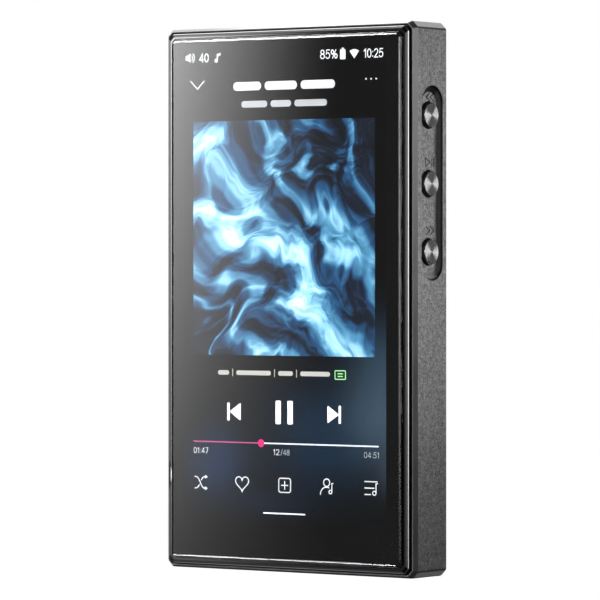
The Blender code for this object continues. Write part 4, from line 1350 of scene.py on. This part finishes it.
def make_stage():
    scene = bpy.context.scene
    scene.view_settings.view_transform = "Standard"
    scene.view_settings.look = "None"

    mesh = bpy.data.meshes.new("floor")
    r = 2.5
    mesh.from_pydata([(-r, -r, -0.0002), (r, -r, -0.0002), (r, r, -0.0002), (-r, r, -0.0002)], [], [(0, 1, 2, 3)])
    floor = bpy.data.objects.new("floor", mesh)
    scene.collection.objects.link(floor)
    paint = bpy.data.materials.new("floor_paint")
    paint.use_nodes = True
    shader = paint.node_tree.nodes["Principled BSDF"]
    shader.inputs["Base Color"].default_value = (0.9, 0.9, 0.9, 1.0)
    shader.inputs["Roughness"].default_value = 0.9
    shader.inputs["Specular IOR Level"].default_value = 0.0
    shader.inputs["Emission Color"].default_value = (1.0, 1.0, 1.0, 1.0)
    shader.inputs["Emission Strength"].default_value = 0.95
    mesh.materials.append(paint)
    floor.visible_diffuse = False
    floor.visible_glossy = False
    floor.visible_transmission = False
    floor.visible_shadow = False

    world = bpy.data.worlds.new("studio")
    scene.world = world
    world.use_nodes = True
    tree = world.node_tree
    tree.nodes.clear()
    out = tree.nodes.new("ShaderNodeOutputWorld")
    blend = tree.nodes.new("ShaderNodeMixShader")
    path = tree.nodes.new("ShaderNodeLightPath")
    dim, white = tree.nodes.new("ShaderNodeBackground"), tree.nodes.new("ShaderNodeBackground")
    dim.inputs[0].default_value = (1.0, 1.0, 1.0, 1.0)
    dim.inputs[1].default_value = AMBIENT
    white.inputs[0].default_value = (1.0, 1.0, 1.0, 1.0)
    white.inputs[1].default_value = 1.0
    tree.links.new(path.outputs["Is Camera Ray"], blend.inputs[0])
    tree.links.new(dim.outputs[0], blend.inputs[1])
    tree.links.new(white.outputs[0], blend.inputs[2])
    tree.links.new(blend.outputs[0], out.inputs["Surface"])

    # The panel at the front left fades across the glass, to the right and downwards.
    along = Vector((0.809, -0.588, 0.0))
    centre = Vector((-294.0, -411.5, 60.4)) + along * -8.0
    card(
        "front_fade", centre, (0.588, 0.809, 0.0), 66.0, 220.0, FADE_POWER,
        (-27.7, 33.0, 0.0, 1.0, 1.9), (-87.0, 83.6, 0.335, 1.0, 2.0),
    )
    for name, (from_az, to_az, from_el, to_el, power, upward) in PANELS.items():
        patch(name, from_az, to_az, from_el, to_el, power, upward)
    for name, (from_az, to_az, away, low, high, power) in SIDE_PANELS.items():
        screen_beside(name, from_az, to_az, away, low, high, power)
    # A small panel close above lifts the right part of the top edge.
    way = direction(-128.6, 41.5)
    card("top_glow", Vector((16.0, -4.8, 120.4)) + way * 110.0, -way, 44.0, 44.0, 3.0)

    lens = bpy.data.cameras.new("camera")
    lens.lens, lens.sensor_width = 260.34, 36.0
    lens.shift_x, lens.shift_y = 0.02758, -0.06183
    lens.clip_start, lens.clip_end = 0.05, 50.0
    eye = bpy.data.objects.new("camera", lens)
    eye.location = (0.56161, -0.77958, 0.06831)
    eye.rotation_euler = (math.pi / 2, 0.0, math.radians(36.014))
    scene.collection.objects.link(eye)
    scene.camera = eye


# ---------------------------------------------------------------- put it together

make_stage()
make_housing()
make_front()
make_screen()
make_keys()
make_back()
make_sockets()

slot_of = {part["node"]: part["material_slot"] for part in frame["record"]["subparts"]}
for node, thing in frame["nodes"].items():
    look = LOOKS[slot_of[node]]
    if not thing.data.materials:
        thing.data.materials.append(look)
    for place in thing.material_slots:
        place.material = look
